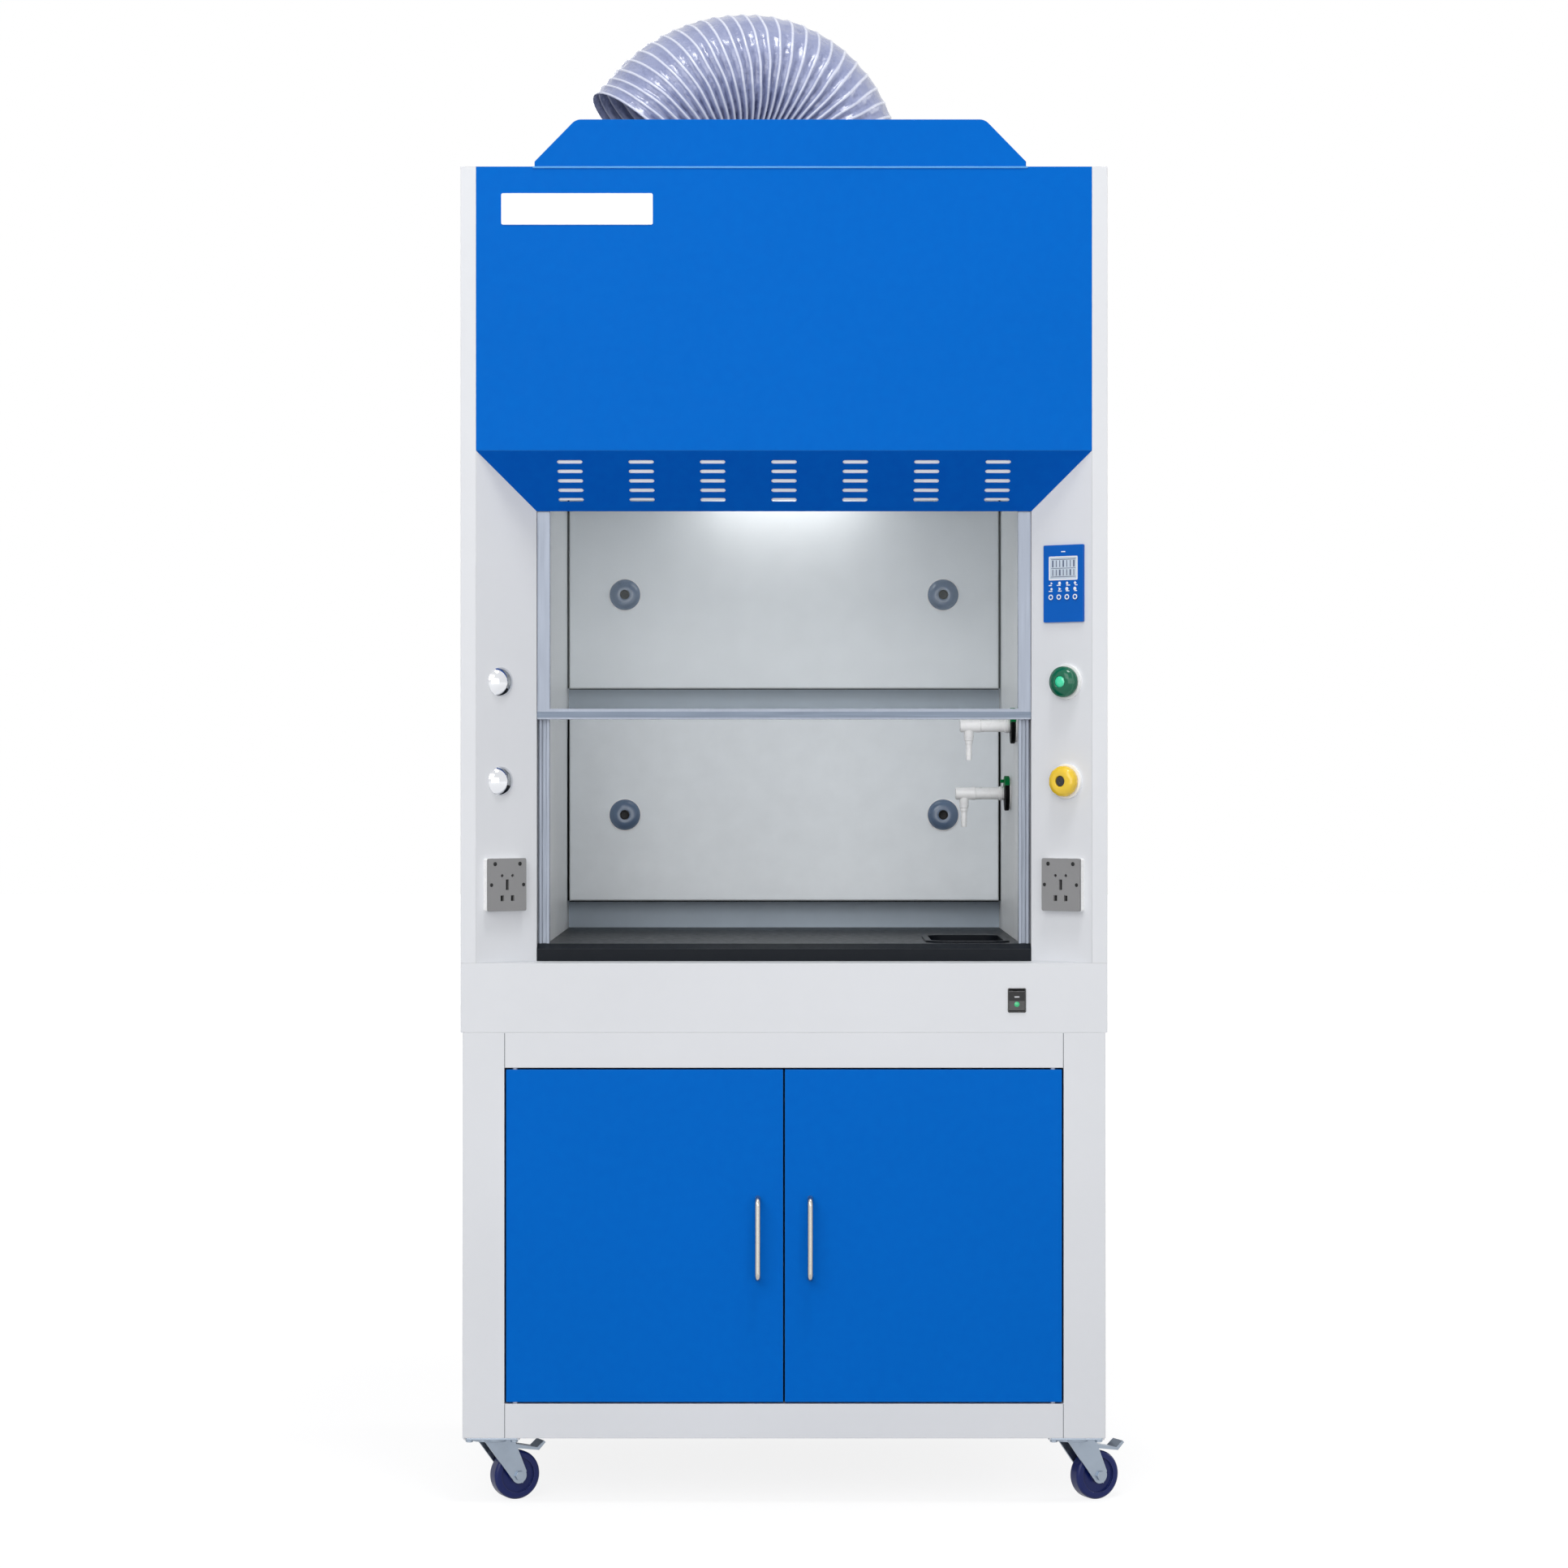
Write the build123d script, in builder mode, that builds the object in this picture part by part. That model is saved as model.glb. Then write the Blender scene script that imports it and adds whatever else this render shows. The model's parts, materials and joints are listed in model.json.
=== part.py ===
"""Ducted fume hood on a base cabinet with casters.

All sizes are in millimetres. +X is to the right of someone who faces the sash, +Y goes to the
back and +Z goes up. The origin is on the floor, under the middle of the body.
Depths are counted from the front plane, which is the face of the doors and of the upper fascia.
"""
import os
from math import cos, radians, sin, sqrt, tan

from build123d import *

# Overall body
hood_width = 1050
hood_depth = 800
sheet = 1.5
face_gap = 0.3
running_gap = 0.05

# Heights of the stacked units
caster_height = 109
base_height = 658.5
apron_height = 112.5
worktop_thickness = 28
fascia_height = 461
cowl_height = 76.5
bevel_width = 94
bevel_depth = 71
window_height = 738.5

# Base cabinet
base_inset = 3
base_post = 68
base_top_rail = 57
base_bottom_rail = 56
frame_return = 30
door_thickness = 18
door_gap = 3
door_pivot_in = 14
door_pivot_deep = 8
door_pin_radius = 4
door_pin_engage = 9
door_block = 26
door_block_height = 12
handle_pitch = 128
handle_rod = 9
handle_reach = 35
handle_from_middle = 42.5
handle_below_door_top = 275.5

# Casters
caster_inset = 46
caster_side_inset = 47
caster_trail = 38
caster_plate = 90
caster_plate_thickness = 3
wheel_radius = 40
wheel_width = 26
wheel_gap = 2.5
wheel_edge = 5.2
wheel_dish_depth = 4
wheel_dish_radius = 28.8
wheel_hub_radius = 12.8
fork_thickness = 3
fork_crown = 6
fork_crown_gap = 0.4
fork_crown_length = 72
kingpin_radius = 6
axle_radius = 4
axle_head_radius = 8
axle_head = 4
fork_half_top = 27
fork_eye = 13
pedal_reach = 84
pedal_pivot_reach = 28
pedal_pivot_drop = 16.6
pedal_pin_radius = 3
pedal_eye = 3.5
pedal_gap = 1
pedal_sag = 6
pedal_thickness = 5
pedal_toe_run = 12
pedal_toe_rise = 4
pedal_tip = 3
front_caster_turn = 28

# Side panels, front posts and upper shell
side_thickness = 25
post_flange = 40
fascia_return = 20
slot_columns = 7
slot_rows = 5
slot_column_pitch = 116.2
slot_row_pitch = 18.3
slot_length = 41.5
slot_height = 7.5
cowl_half_width = 399
cowl_shift = -6
cowl_foot = 8
cowl_cut = 67
cowl_corner = 20
cowl_return = 25
plate_width = 246
plate_height = 51
plate_thickness = 1
plate_from_middle = -336
plate_drop = 69
plate_corner = 3

# Worktop and sink
worktop_lip_drop = 8
worktop_lip_run = 19.5
sink_from_middle = 305
sink_deep = 240
sink_width = 140
sink_length = 250
sink_rim_seat = 6.5
sink_rim_height = 3
sink_wall = 3
sink_cup_depth = 120
sink_corner = 30
drain_radius = 20
trap_radius = 32
trap_hole_gap = 2
trap_drop = 67.5
trap_height = 140
waste_rise = 100
waste_spigot = 35
waste_flange = 9

# Chamber lining
liner_inset = 16
board = 5
chamber_back = 740
ceiling_rise = 97.5
exhaust_slot_depth = 43
exhaust_slot_half = 100

# Baffles
baffle_side_gap = 4
baffle_plenum = 60
baffle_bottom_slot = 50.5
baffle_lower_height = 331.5
baffle_middle_slot = 50
baffle_top_gap = 16
baffle_edge = 2
knob_across = 286
knob_low_rise = 205
knob_high_rise = 600.5
cap_radius = 28.3
cap_rise = 12
cap_shoulder_radius = 23.2
cap_shoulder_rise = 8.4
cap_hole = 8
cap_hole_depth = 8
standoff_radius = 12
stud_radius = 8

# Lamp
lamp_half_length = 140
lamp_width = 90
lamp_behind = 90
lamp_height = 16

# Sash
sash_front_gap = 5
sash_side_gap = 0.5
sash_thickness = 14
stile_width = 21
sash_open = 369
sash_height = 740
sash_rail = 17.4
sash_lift = 110
glass_thickness = 5
glass_bite = 8
track_width = 16.5
track_depth = 18
track_groove = 8
track_groove_depth = 10
track_gap = 2
track_web = 3
glider_length = 60
lug_height = 12
lug_below_top = 10
lug_depth = 8
cable_from_window = 14
cable_radius = 1.5
pulley_radius = 28
pulley_root = 23.7
pulley_width = 14
pulley_groove_half = 2.1
pulley_into_shaft = 1
pulley_below_roof = 31.5
shaft_radius = 8
shaft_side_gap = 40
bracket_from_cable = 25
bracket_thickness = 4
bracket_width = 36
weight_width = 40
weight_height = 400
weight_rise = 192
weight_chamfer = 3

# Fan and exhaust
outlet_across = 95
scroll_radius = 160
scroll_depth = 150
scroll_foot_gap = 9
outlet_width = 160
outlet_below_roof = 73.5
spigot_radius = 99.7
spigot_height = 48
inlet_radius = 80
inlet_box_left = 90
inlet_box_right = 120
inlet_box_height = 250
wheel_disc_radius = 120
fan_depth = 110
fan_blades = 24
fan_blade_length = 30
fan_blade_thickness = 2
fan_blade_angle = 20
fan_plate = 3
hub_radius = 25
motor_radius = 65
motor_length = 120
motor_shaft_radius = 9
motor_socket = 20
motor_foot_half = 32.5
motor_foot_near = 24
motor_foot_far = 96
motor_foot_bite = 13
hose_bore = 100
hose_wall = 5
hose_start = 12
hose_riser = 52.5
hose_near_bend = 155
hose_far_bend = 221
hose_far_sweep = 49
hose_cuff = 45
hose_turn = 15
clamp_width = 14
clamp_thickness = 1.5
clamp_above_end = 14
clamp_screw_length = 34
clamp_screw_width = 14

# Fittings on the front posts: along the bevel from its inner edge, up from the apron
fitting_along = 70
knob_upper_rise = 457.5
knob_lower_rise = 295.5
valve_base_radius = 28.5
valve_base_height = 5
valve_knob_radius = 25.5
valve_knob_height = 17
valve_knob_edge = 2
valve_flutes = 8
valve_flute_radius = 6
valve_flute_out = 3
valve_spindle = 5
plug_radius = 24
plug_rise = 12
panel_along = 64.9
panel_rise = 618
panel_width = 77
panel_tall = 126
panel_thickness = 4
panel_corner = 2
display_width = 52.6
display_tall = 36
display_up = 25
display_recess = 1
key_drop = 22
key_pitch = 15.6
key_radius = 5
key_gap = 0.25
key_foot = 1.2
key_length = 4
key_chamfer = 0.4
key_count = 4
socket_along = 66.4
socket_rise = 127
socket_width = 73
socket_tall = 86
socket_box_depth = 9.7
socket_plate_thickness = 5
socket_wall = 3
socket_corner = 3
socket_inner_corner = 1
socket_pin_across = 10
socket_pin_up = 14.8
socket_pin_radius = 2.5
socket_earth_width = 6
socket_earth_tall = 17
socket_flat_down = 22
socket_flat_width = 6.6
socket_flat_tall = 9.3

# Power rocker on the apron
rocker_from_middle = 378
rocker_rise = 52.5
rocker_width = 26
rocker_radius = 18
rocker_deep = 6
rocker_valley = 1
rocker_tilt = 7
rocker_back = 12

# Service outlets on the right wall
outlet_tube_radius = 10.9
outlet_reach = 95
outlet_nozzle_in = 80
outlet_nozzle_drop = 58
outlet_nozzle_top = 8
outlet_nozzle_step = 23.2
outlet_nozzle_neck = 29
outlet_nozzle_ring = 6
outlet_nozzle_tip = 5
outlet_nozzle_grip = 24
outlet_disc_radius = 30
outlet_disc_thickness = 6
upper_outlet_rise = 360
upper_outlet_deep = 210
lower_outlet_rise = 245.5
lower_outlet_deep = 385

# Worked out from the sizes above
front = -hood_depth / 2
back = hood_depth / 2
half_width = hood_width / 2
base_half = half_width - base_inset
base_top = caster_height + base_height
apron_top = base_top + apron_height
worktop_top = apron_top + worktop_thickness
window_top = apron_top + window_height
fascia_bottom = window_top + bevel_width
roof = fascia_bottom + fascia_height
inner_half = half_width - side_thickness
window_half = inner_half - bevel_width
slope = sqrt(bevel_width**2 + bevel_depth**2)
along_x = bevel_width / slope
along_y = bevel_depth / slope
door_half = base_half - base_post
door_low = caster_height + base_bottom_rail
door_high = base_top - base_top_rail
handle_height = door_high - handle_below_door_top
fork_top = caster_height - caster_plate_thickness - fork_crown_gap
pedal_pivot_height = fork_top - pedal_pivot_drop
rocker_height = base_top + rocker_rise
trap_top = base_top - trap_drop
trap_bottom = trap_top - trap_height
waste_height = trap_bottom + waste_rise
worktop_back = chamber_back + board
exhaust_back = chamber_back - board
liner_half_width = window_half - liner_inset
ceiling_height = window_top + ceiling_rise
baffle_half_width = liner_half_width - baffle_side_gap
baffle_deep = chamber_back - baffle_plenum
lamp_deep = chamber_back - lamp_behind - lamp_width
knob_low = worktop_top + knob_low_rise
knob_high = worktop_top + knob_high_rise
upper_outlet_height = worktop_top + upper_outlet_rise
lower_outlet_height = worktop_top + lower_outlet_rise
knob_upper_height = apron_top + knob_upper_rise
knob_lower_height = apron_top + knob_lower_rise
panel_height_centre = apron_top + panel_rise
socket_height_centre = apron_top + socket_rise
sash_front = bevel_depth + sash_front_gap
sash_back = sash_front + sash_thickness
sash_half_width = window_half - sash_side_gap
sash_bottom = worktop_top + sash_open
sash_top = sash_bottom + sash_height
track_front = sash_back + track_gap
track_outer = window_half - track_web
liner_front = track_front + track_depth
cable_from_middle = window_half + cable_from_window
bracket_from_middle = cable_from_middle + bracket_from_cable
shaft_half_length = inner_half - shaft_side_gap
pulley_height = roof - pulley_below_roof
weight_bottom = worktop_top + weight_rise
outlet_top = roof - outlet_below_roof
hose_riser_top = roof + hose_riser
cable_front_deep = sash_front + sash_thickness / 2 - face_gap
pulley_deep = cable_front_deep + pulley_root + cable_radius + face_gap
cable_rear_deep = 2 * pulley_deep - cable_front_deep
scroll_across = outlet_across + outlet_width / 2 - scroll_radius
scroll_height = ceiling_height + board + scroll_radius + scroll_foot_gap
scroll_front = hood_depth / 2 - scroll_depth / 2
scroll_back = scroll_front + scroll_depth

os.makedirs("parts", exist_ok=True)


def deep(distance):
    """The y value of a depth behind the front plane."""
    return front + distance


def slab(x_span, depth_span, z_span, mode=Mode.ADD):
    """A box between two x values, two depths and two heights."""
    middle = ((x_span[0] + x_span[1]) / 2, deep(sum(depth_span) / 2), (z_span[0] + z_span[1]) / 2)
    with Locations(middle):
        Box(x_span[1] - x_span[0], depth_span[1] - depth_span[0], z_span[1] - z_span[0], mode=mode)


def keep(piece, node):
    """Label a finished piece and write it."""
    piece.part.label = node
    export_step(piece.part, f"parts/{node}.step")


def bevel_plane(rise=0.0):
    """The right post's bevel: x runs outward from its inner edge, y is the height above the floor."""
    inner_edge = Vector(window_half, deep(bevel_depth), 0)
    normal = Vector(-along_y, -along_x, 0)
    return Plane(inner_edge + normal * rise, x_dir=(along_x, -along_y, 0), z_dir=normal)


def facing(deep_at, across=0.0, height=0.0):
    """An upright plane that looks to the front: x to the right, y up."""
    return Plane((across, deep(deep_at), height), x_dir=(1, 0, 0), z_dir=(0, -1, 0))


# Base cabinet: a sheet box whose front is a framed opening for two doors
with BuildPart() as base_carcass:
    slab((-base_half, base_half), (0, hood_depth), (caster_height, base_top))
    slab((sheet - base_half, base_half - sheet), (sheet, hood_depth - sheet),
         (caster_height + sheet, base_top - sheet), Mode.SUBTRACT)
    slab((-door_half - sheet, door_half + sheet), (0, frame_return),
         (door_low - sheet, door_high + sheet))
    slab((-door_half, door_half), (0, frame_return), (door_low, door_high), Mode.SUBTRACT)
    pin_length = door_gap + door_pin_engage
    pin_across = door_half - door_gap - door_pivot_in
    with BuildSketch(Plane.XY.offset(door_low)):
        with Locations((-pin_across, deep(door_pivot_deep)), (pin_across, deep(door_pivot_deep))):
            Circle(door_pin_radius)
    extrude(amount=pin_length)
    with BuildSketch(Plane.XY.offset(door_high - pin_length)):
        with Locations((-pin_across, deep(door_pivot_deep)), (pin_across, deep(door_pivot_deep))):
            Circle(door_pin_radius)
    extrude(amount=pin_length)
    caster_x = base_half - caster_side_inset
    caster_y = back - caster_inset
    caster_spots = [(-caster_x, -caster_y), (caster_x, -caster_y),
                    (-caster_x, caster_y), (caster_x, caster_y)]
    with BuildSketch(Plane.XY.offset(caster_height - caster_plate_thickness)):
        with Locations(*caster_spots):
            Rectangle(caster_plate, caster_plate)
    extrude(amount=caster_plate_thickness)
    with BuildSketch(Plane.XY.offset(fork_top - fork_crown - face_gap)):
        with Locations(*caster_spots):
            Circle(kingpin_radius)
    extrude(until=Until.NEXT)
    with BuildSketch(Plane.XY.offset(base_top - sheet)):
        with Locations((sink_from_middle, deep(sink_deep))):
            Circle(trap_radius + trap_hole_gap)
    extrude(amount=sheet, mode=Mode.SUBTRACT)
    with BuildSketch(facing(hood_depth - sheet, sink_from_middle, waste_height)):
        Circle(drain_radius + face_gap)
    extrude(amount=-sheet, mode=Mode.SUBTRACT)
keep(base_carcass, "base_carcass")


def door_leaf(side):
    """One door: a folded tray with pivot blocks in its outer corners. side is -1 left, 1 right."""
    outer = side * (door_half - door_gap)
    middle = side * door_gap / 2
    span = (min(outer, middle), max(outer, middle))
    height = (door_low + door_gap, door_high - door_gap)
    pivot = side * pin_across
    with BuildPart() as leaf:
        slab(span, (0, door_thickness), height)
        slab((span[0] + sheet, span[1] - sheet), (sheet, door_thickness),
             (height[0] + sheet, height[1] - sheet), Mode.SUBTRACT)
        block = (min(outer, outer - side * door_block), max(outer, outer - side * door_block))
        slab(block, (0, door_thickness), (height[0], height[0] + door_block_height))
        slab(block, (0, door_thickness), (height[1] - door_block_height, height[1]))
        for foot in (height[0], height[1] - door_block_height):
            with BuildSketch(Plane.XY.offset(foot)):
                with Locations((pivot, deep(door_pivot_deep))):
                    Circle(door_pin_radius + running_gap)
            extrude(amount=door_block_height, mode=Mode.SUBTRACT)
    return leaf


def bow_handle(side):
    """A bow handle, bent from one rod, with its feet on the door's face."""
    across = side * handle_from_middle
    reach = handle_reach - handle_rod / 2
    low = handle_height - handle_pitch / 2
    high = handle_height + handle_pitch / 2
    with BuildPart() as handle:
        with BuildLine():
            FilletPolyline((across, front, low), (across, front - reach, low),
                           (across, front - reach, high), (across, front, high),
                           radius=handle_rod)
        with BuildSketch(facing(0, across, low)):
            Circle(handle_rod / 2)
        sweep()
    return handle


door_left = door_leaf(-1)
keep(door_left, "door_left")
door_right = door_leaf(1)
keep(door_right, "door_right")
door_handle_left = bow_handle(-1)
keep(door_handle_left, "door_handle_left")
door_handle_right = bow_handle(1)
keep(door_handle_right, "door_handle_right")


# Casters: each one is built round its swivel axis, trailing in its own direction
def trailing(turn):
    """The horizontal direction in which a caster's wheel trails."""
    return Vector(cos(radians(turn)), sin(radians(turn)), 0)


def caster_side(spot, turn, sideways=0.0):
    """The upright plane of a caster's wheel: x runs along the trail, y is the height."""
    normal = Vector(sin(radians(turn)), -cos(radians(turn)), 0)
    return Plane(Vector(*spot, 0) + normal * sideways, x_dir=trailing(turn), z_dir=normal)


def caster_top(spot, turn, height):
    """A level plane over a caster, turned with it."""
    return Plane((*spot, height), x_dir=trailing(turn), z_dir=(0, 0, 1))


leg_inner = wheel_width / 2 + wheel_gap
crown_low = fork_top - fork_crown


def caster_fork(spot, turn):
    """A pressed fork: a crown under the plate, two legs and the wheel's axle bolt."""
    with BuildPart() as fork:
        with BuildSketch(caster_top(spot, turn, crown_low)):
            SlotOverall(fork_crown_length, (leg_inner + fork_thickness) * 2)
            Circle(kingpin_radius + running_gap, mode=Mode.SUBTRACT)
        extrude(amount=fork_crown)
        for sideways in (leg_inner, -leg_inner - fork_thickness):
            with BuildSketch(caster_side(spot, turn, sideways)):
                Polygon((-fork_half_top, fork_top), (fork_half_top, fork_top),
                        (caster_trail + fork_eye, wheel_radius + fork_eye / 2),
                        (caster_trail + fork_eye / 2, wheel_radius - fork_eye),
                        (caster_trail - fork_eye, wheel_radius - fork_eye / 3), align=None)
                with Locations((caster_trail, wheel_radius)):
                    Circle(fork_eye)
            extrude(amount=fork_thickness)
        reach = leg_inner + fork_thickness
        with BuildSketch(caster_side(spot, turn, -reach)):
            with Locations((caster_trail, wheel_radius)):
                Circle(axle_radius)
        extrude(amount=reach * 2)
        for sideways in (reach, -reach - axle_head):
            with BuildSketch(caster_side(spot, turn, sideways)):
                with Locations((caster_trail, wheel_radius)):
                    RegularPolygon(axle_head_radius, 6)
            extrude(amount=axle_head)
        if spot[1] < 0:
            with BuildSketch(caster_side(spot, turn, -leg_inner - fork_thickness)):
                with Locations((pedal_pivot_reach, pedal_pivot_height)):
                    Circle(pedal_pin_radius)
            extrude(amount=(leg_inner + fork_thickness) * 2)
    return fork


def caster_wheel(spot, turn):
    """A solid wheel with a rounded tread, dished sides and a bored hub."""
    half = wheel_width / 2
    with BuildPart() as wheel:
        with BuildSketch(caster_side(spot, turn, -half)):
            with Locations((caster_trail, wheel_radius)):
                Circle(wheel_radius)
        extrude(amount=wheel_width)
        fillet(wheel.edges().filter_by(GeomType.CIRCLE), radius=wheel_edge)
        for sideways in (half - wheel_dish_depth, -half):
            with BuildSketch(caster_side(spot, turn, sideways)):
                with Locations((caster_trail, wheel_radius)):
                    Circle(wheel_dish_radius)
                    Circle(wheel_hub_radius, mode=Mode.SUBTRACT)
            extrude(amount=wheel_dish_depth, mode=Mode.SUBTRACT)
        with BuildSketch(caster_side(spot, turn, -half)):
            with Locations((caster_trail, wheel_radius)):
                Circle(axle_radius + running_gap)
        extrude(amount=wheel_width, mode=Mode.SUBTRACT)
    return wheel


def caster_pedal(spot, turn):
    """A brake pedal that turns on the fork's cross pin, with an upturned toe."""
    half = leg_inner - pedal_gap
    toe_foot = pedal_pivot_height - pedal_sag
    toe_top = pedal_pivot_height + pedal_toe_rise
    with BuildPart() as pedal:
        with BuildSketch(caster_side(spot, turn, -half)):
            with Locations((pedal_pivot_reach, pedal_pivot_height)):
                Circle(pedal_pin_radius + pedal_eye)
            Polygon((pedal_pivot_reach, pedal_pivot_height + pedal_eye),
                    (pedal_reach - pedal_toe_run, toe_foot),
                    (pedal_reach, toe_top),
                    (pedal_reach + pedal_tip, toe_top - pedal_tip),
                    (pedal_reach - pedal_toe_run + pedal_tip, toe_foot - pedal_thickness),
                    (pedal_pivot_reach, pedal_pivot_height - pedal_eye), align=None)
            with Locations((pedal_pivot_reach, pedal_pivot_height)):
                Circle(pedal_pin_radius + running_gap, mode=Mode.SUBTRACT)
        extrude(amount=half * 2)
    return pedal


# The front pair trails to the right, as in the photograph, and the rear pair to the left
corners = {"front_left": (caster_spots[0], front_caster_turn),
           "front_right": (caster_spots[1], front_caster_turn),
           "rear_left": (caster_spots[2], 180 + front_caster_turn),
           "rear_right": (caster_spots[3], 180 + front_caster_turn)}
for corner, (spot, turn) in corners.items():
    keep(caster_fork(spot, turn), f"caster_fork_{corner}")
    keep(caster_wheel(spot, turn), f"caster_wheel_{corner}")
    if spot[1] < 0:
        keep(caster_pedal(spot, turn), f"brake_pedal_{corner}")


# Apron: an open-bottomed sheet box that carries the worktop
sink_hole = (sink_width - 2 * sink_rim_seat, sink_length - 2 * sink_rim_seat)
with BuildPart() as apron:
    slab((-half_width, half_width), (0, hood_depth), (base_top, apron_top))
    slab((sheet - half_width, half_width - sheet), (sheet, hood_depth - sheet),
         (base_top, apron_top - sheet), Mode.SUBTRACT)
    with BuildSketch(Plane.XY.offset(apron_top - sheet)):
        with Locations((sink_from_middle, deep(sink_deep))):
            RectangleRounded(*sink_hole, sink_corner)
    extrude(amount=sheet, mode=Mode.SUBTRACT)
    rocker_hole = (rocker_width + 2 * face_gap, 2 * (rocker_radius + face_gap))
    with BuildSketch(facing(0, rocker_from_middle, rocker_height)):
        Rectangle(*rocker_hole)
    extrude(amount=-sheet, mode=Mode.SUBTRACT)
keep(apron, "apron")

# Power rocker: a drum segment behind a shallow valley, at rest with one end pressed in
rocker_axis = Plane((rocker_from_middle - rocker_width / 2, deep(rocker_deep), rocker_height),
                    x_dir=(0, 1, 0), z_dir=(1, 0, 0))
with BuildPart() as power_rocker:
    with BuildSketch(rocker_axis):
        Circle(rocker_radius)
        with Locations((rocker_back + rocker_radius, 0)):
            Rectangle(2 * rocker_radius, 3 * rocker_radius, mode=Mode.SUBTRACT)
        valley = -rocker_deep - rocker_valley
        end = valley - 2 * rocker_radius * tan(radians(rocker_tilt))
        with Locations(Location((0, 0), rocker_tilt)):
            Polygon((valley, 0), (end, 2 * rocker_radius), (3 * end, 2 * rocker_radius),
                    (3 * end, -2 * rocker_radius), (end, -2 * rocker_radius), align=None,
                    mode=Mode.SUBTRACT)
    extrude(amount=rocker_width)
keep(power_rocker, "power_rocker")

# Worktop: a thick black board with a sloping front lip and a cut-out for the sink
worktop_half = window_half - face_gap
with BuildPart() as worktop:
    with BuildSketch(Plane((-worktop_half, 0, 0), x_dir=(0, 1, 0), z_dir=(1, 0, 0))):
        Polygon((deep(bevel_depth), apron_top), (deep(worktop_back), apron_top),
                (deep(worktop_back), worktop_top),
                (deep(bevel_depth + worktop_lip_run), worktop_top),
                (deep(bevel_depth), worktop_top - worktop_lip_drop), align=None)
    extrude(amount=2 * worktop_half)
    with BuildSketch(Plane.XY.offset(apron_top)):
        with Locations((sink_from_middle, deep(sink_deep))):
            RectangleRounded(*sink_hole, sink_corner)
    extrude(amount=worktop_thickness, mode=Mode.SUBTRACT)
keep(worktop, "worktop")

# Cup sink: a deep cup with a rim that lies on the worktop and a drain tail
cup_size = (sink_hole[0] - 2 * face_gap, sink_hole[1] - 2 * face_gap)
cup_floor = worktop_top - sink_cup_depth
with BuildPart() as cup_sink:
    with BuildSketch(Plane.XY.offset(worktop_top)):
        with Locations((sink_from_middle, deep(sink_deep))):
            RectangleRounded(sink_width, sink_length, sink_corner + sink_rim_seat)
    extrude(amount=sink_rim_height)
    with BuildSketch(Plane.XY.offset(cup_floor)):
        with Locations((sink_from_middle, deep(sink_deep))):
            RectangleRounded(*cup_size, sink_corner)
    extrude(amount=sink_cup_depth)
    with BuildSketch(Plane.XY.offset(cup_floor + sink_wall)):
        with Locations((sink_from_middle, deep(sink_deep))):
            RectangleRounded(cup_size[0] - 2 * sink_wall, cup_size[1] - 2 * sink_wall,
                             sink_corner - sink_wall)
    extrude(amount=sink_cup_depth, mode=Mode.SUBTRACT)
    with BuildSketch(Plane.XY.offset(trap_top)):
        with Locations((sink_from_middle, deep(sink_deep))):
            Circle(drain_radius)
    extrude(amount=cup_floor - trap_top)
    with BuildSketch(Plane.XY.offset(trap_top)):
        with Locations((sink_from_middle, deep(sink_deep))):
            Circle(drain_radius - sink_wall)
    extrude(amount=cup_floor + sink_wall - trap_top, mode=Mode.SUBTRACT)
keep(cup_sink, "cup_sink")

# Bottle trap with its waste pipe out through the back
with BuildPart() as sink_trap:
    with BuildSketch(Plane.XY.offset(trap_bottom)):
        with Locations((sink_from_middle, deep(sink_deep))):
            Circle(trap_radius)
    extrude(amount=trap_top - trap_bottom)
    with BuildSketch(facing(sink_deep, sink_from_middle, waste_height)):
        Circle(drain_radius)
    extrude(amount=-(hood_depth + waste_spigot - sink_deep))
    with BuildSketch(facing(hood_depth, sink_from_middle, waste_height)):
        Circle(drain_radius + waste_flange)
    extrude(amount=-sink_wall)
    with BuildSketch(Plane.XY.offset(trap_bottom + sink_wall)):
        with Locations((sink_from_middle, deep(sink_deep))):
            Circle(trap_radius - sink_wall)
    extrude(amount=trap_top - trap_bottom - 2 * sink_wall, mode=Mode.SUBTRACT)
    with BuildSketch(Plane.XY.offset(trap_top - sink_wall)):
        with Locations((sink_from_middle, deep(sink_deep))):
            Circle(drain_radius - sink_wall)
    extrude(amount=sink_wall, mode=Mode.SUBTRACT)
    with BuildSketch(facing(sink_deep, sink_from_middle, waste_height)):
        Circle(drain_radius - sink_wall)
    extrude(amount=-(hood_depth + waste_spigot - sink_deep), mode=Mode.SUBTRACT)
keep(sink_trap, "sink_trap")

# Side panels: trays that open inward, one on each side
with BuildPart() as side_panels:
    slab((inner_half, half_width), (0, hood_depth), (apron_top, roof))
    slab((inner_half, half_width - sheet), (sheet, hood_depth - sheet),
         (apron_top + sheet, roof - sheet), Mode.SUBTRACT)
    mirror(about=Plane.YZ)
keep(side_panels, "side_panels")

# Front posts: a bevelled face with a flange back along the window, mitred at the top
mitre = Plane((inner_half, front, fascia_bottom), z_dir=(-1, 0, 1))
with BuildPart() as front_posts:
    with BuildSketch(Plane.XY.offset(apron_top)):
        with BuildLine():
            Polyline((inner_half, deep(fascia_return)), (inner_half, front),
                     (window_half, deep(bevel_depth)), (window_half, deep(bevel_depth + post_flange)))
            offset(amount=sheet, side=Side.RIGHT, closed=True)
        make_face()
    extrude(amount=fascia_bottom - apron_top)
    split(bisect_by=mitre, keep=Keep.BOTTOM)
    mirror(about=Plane.YZ)
keep(front_posts, "front_posts")

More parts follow.
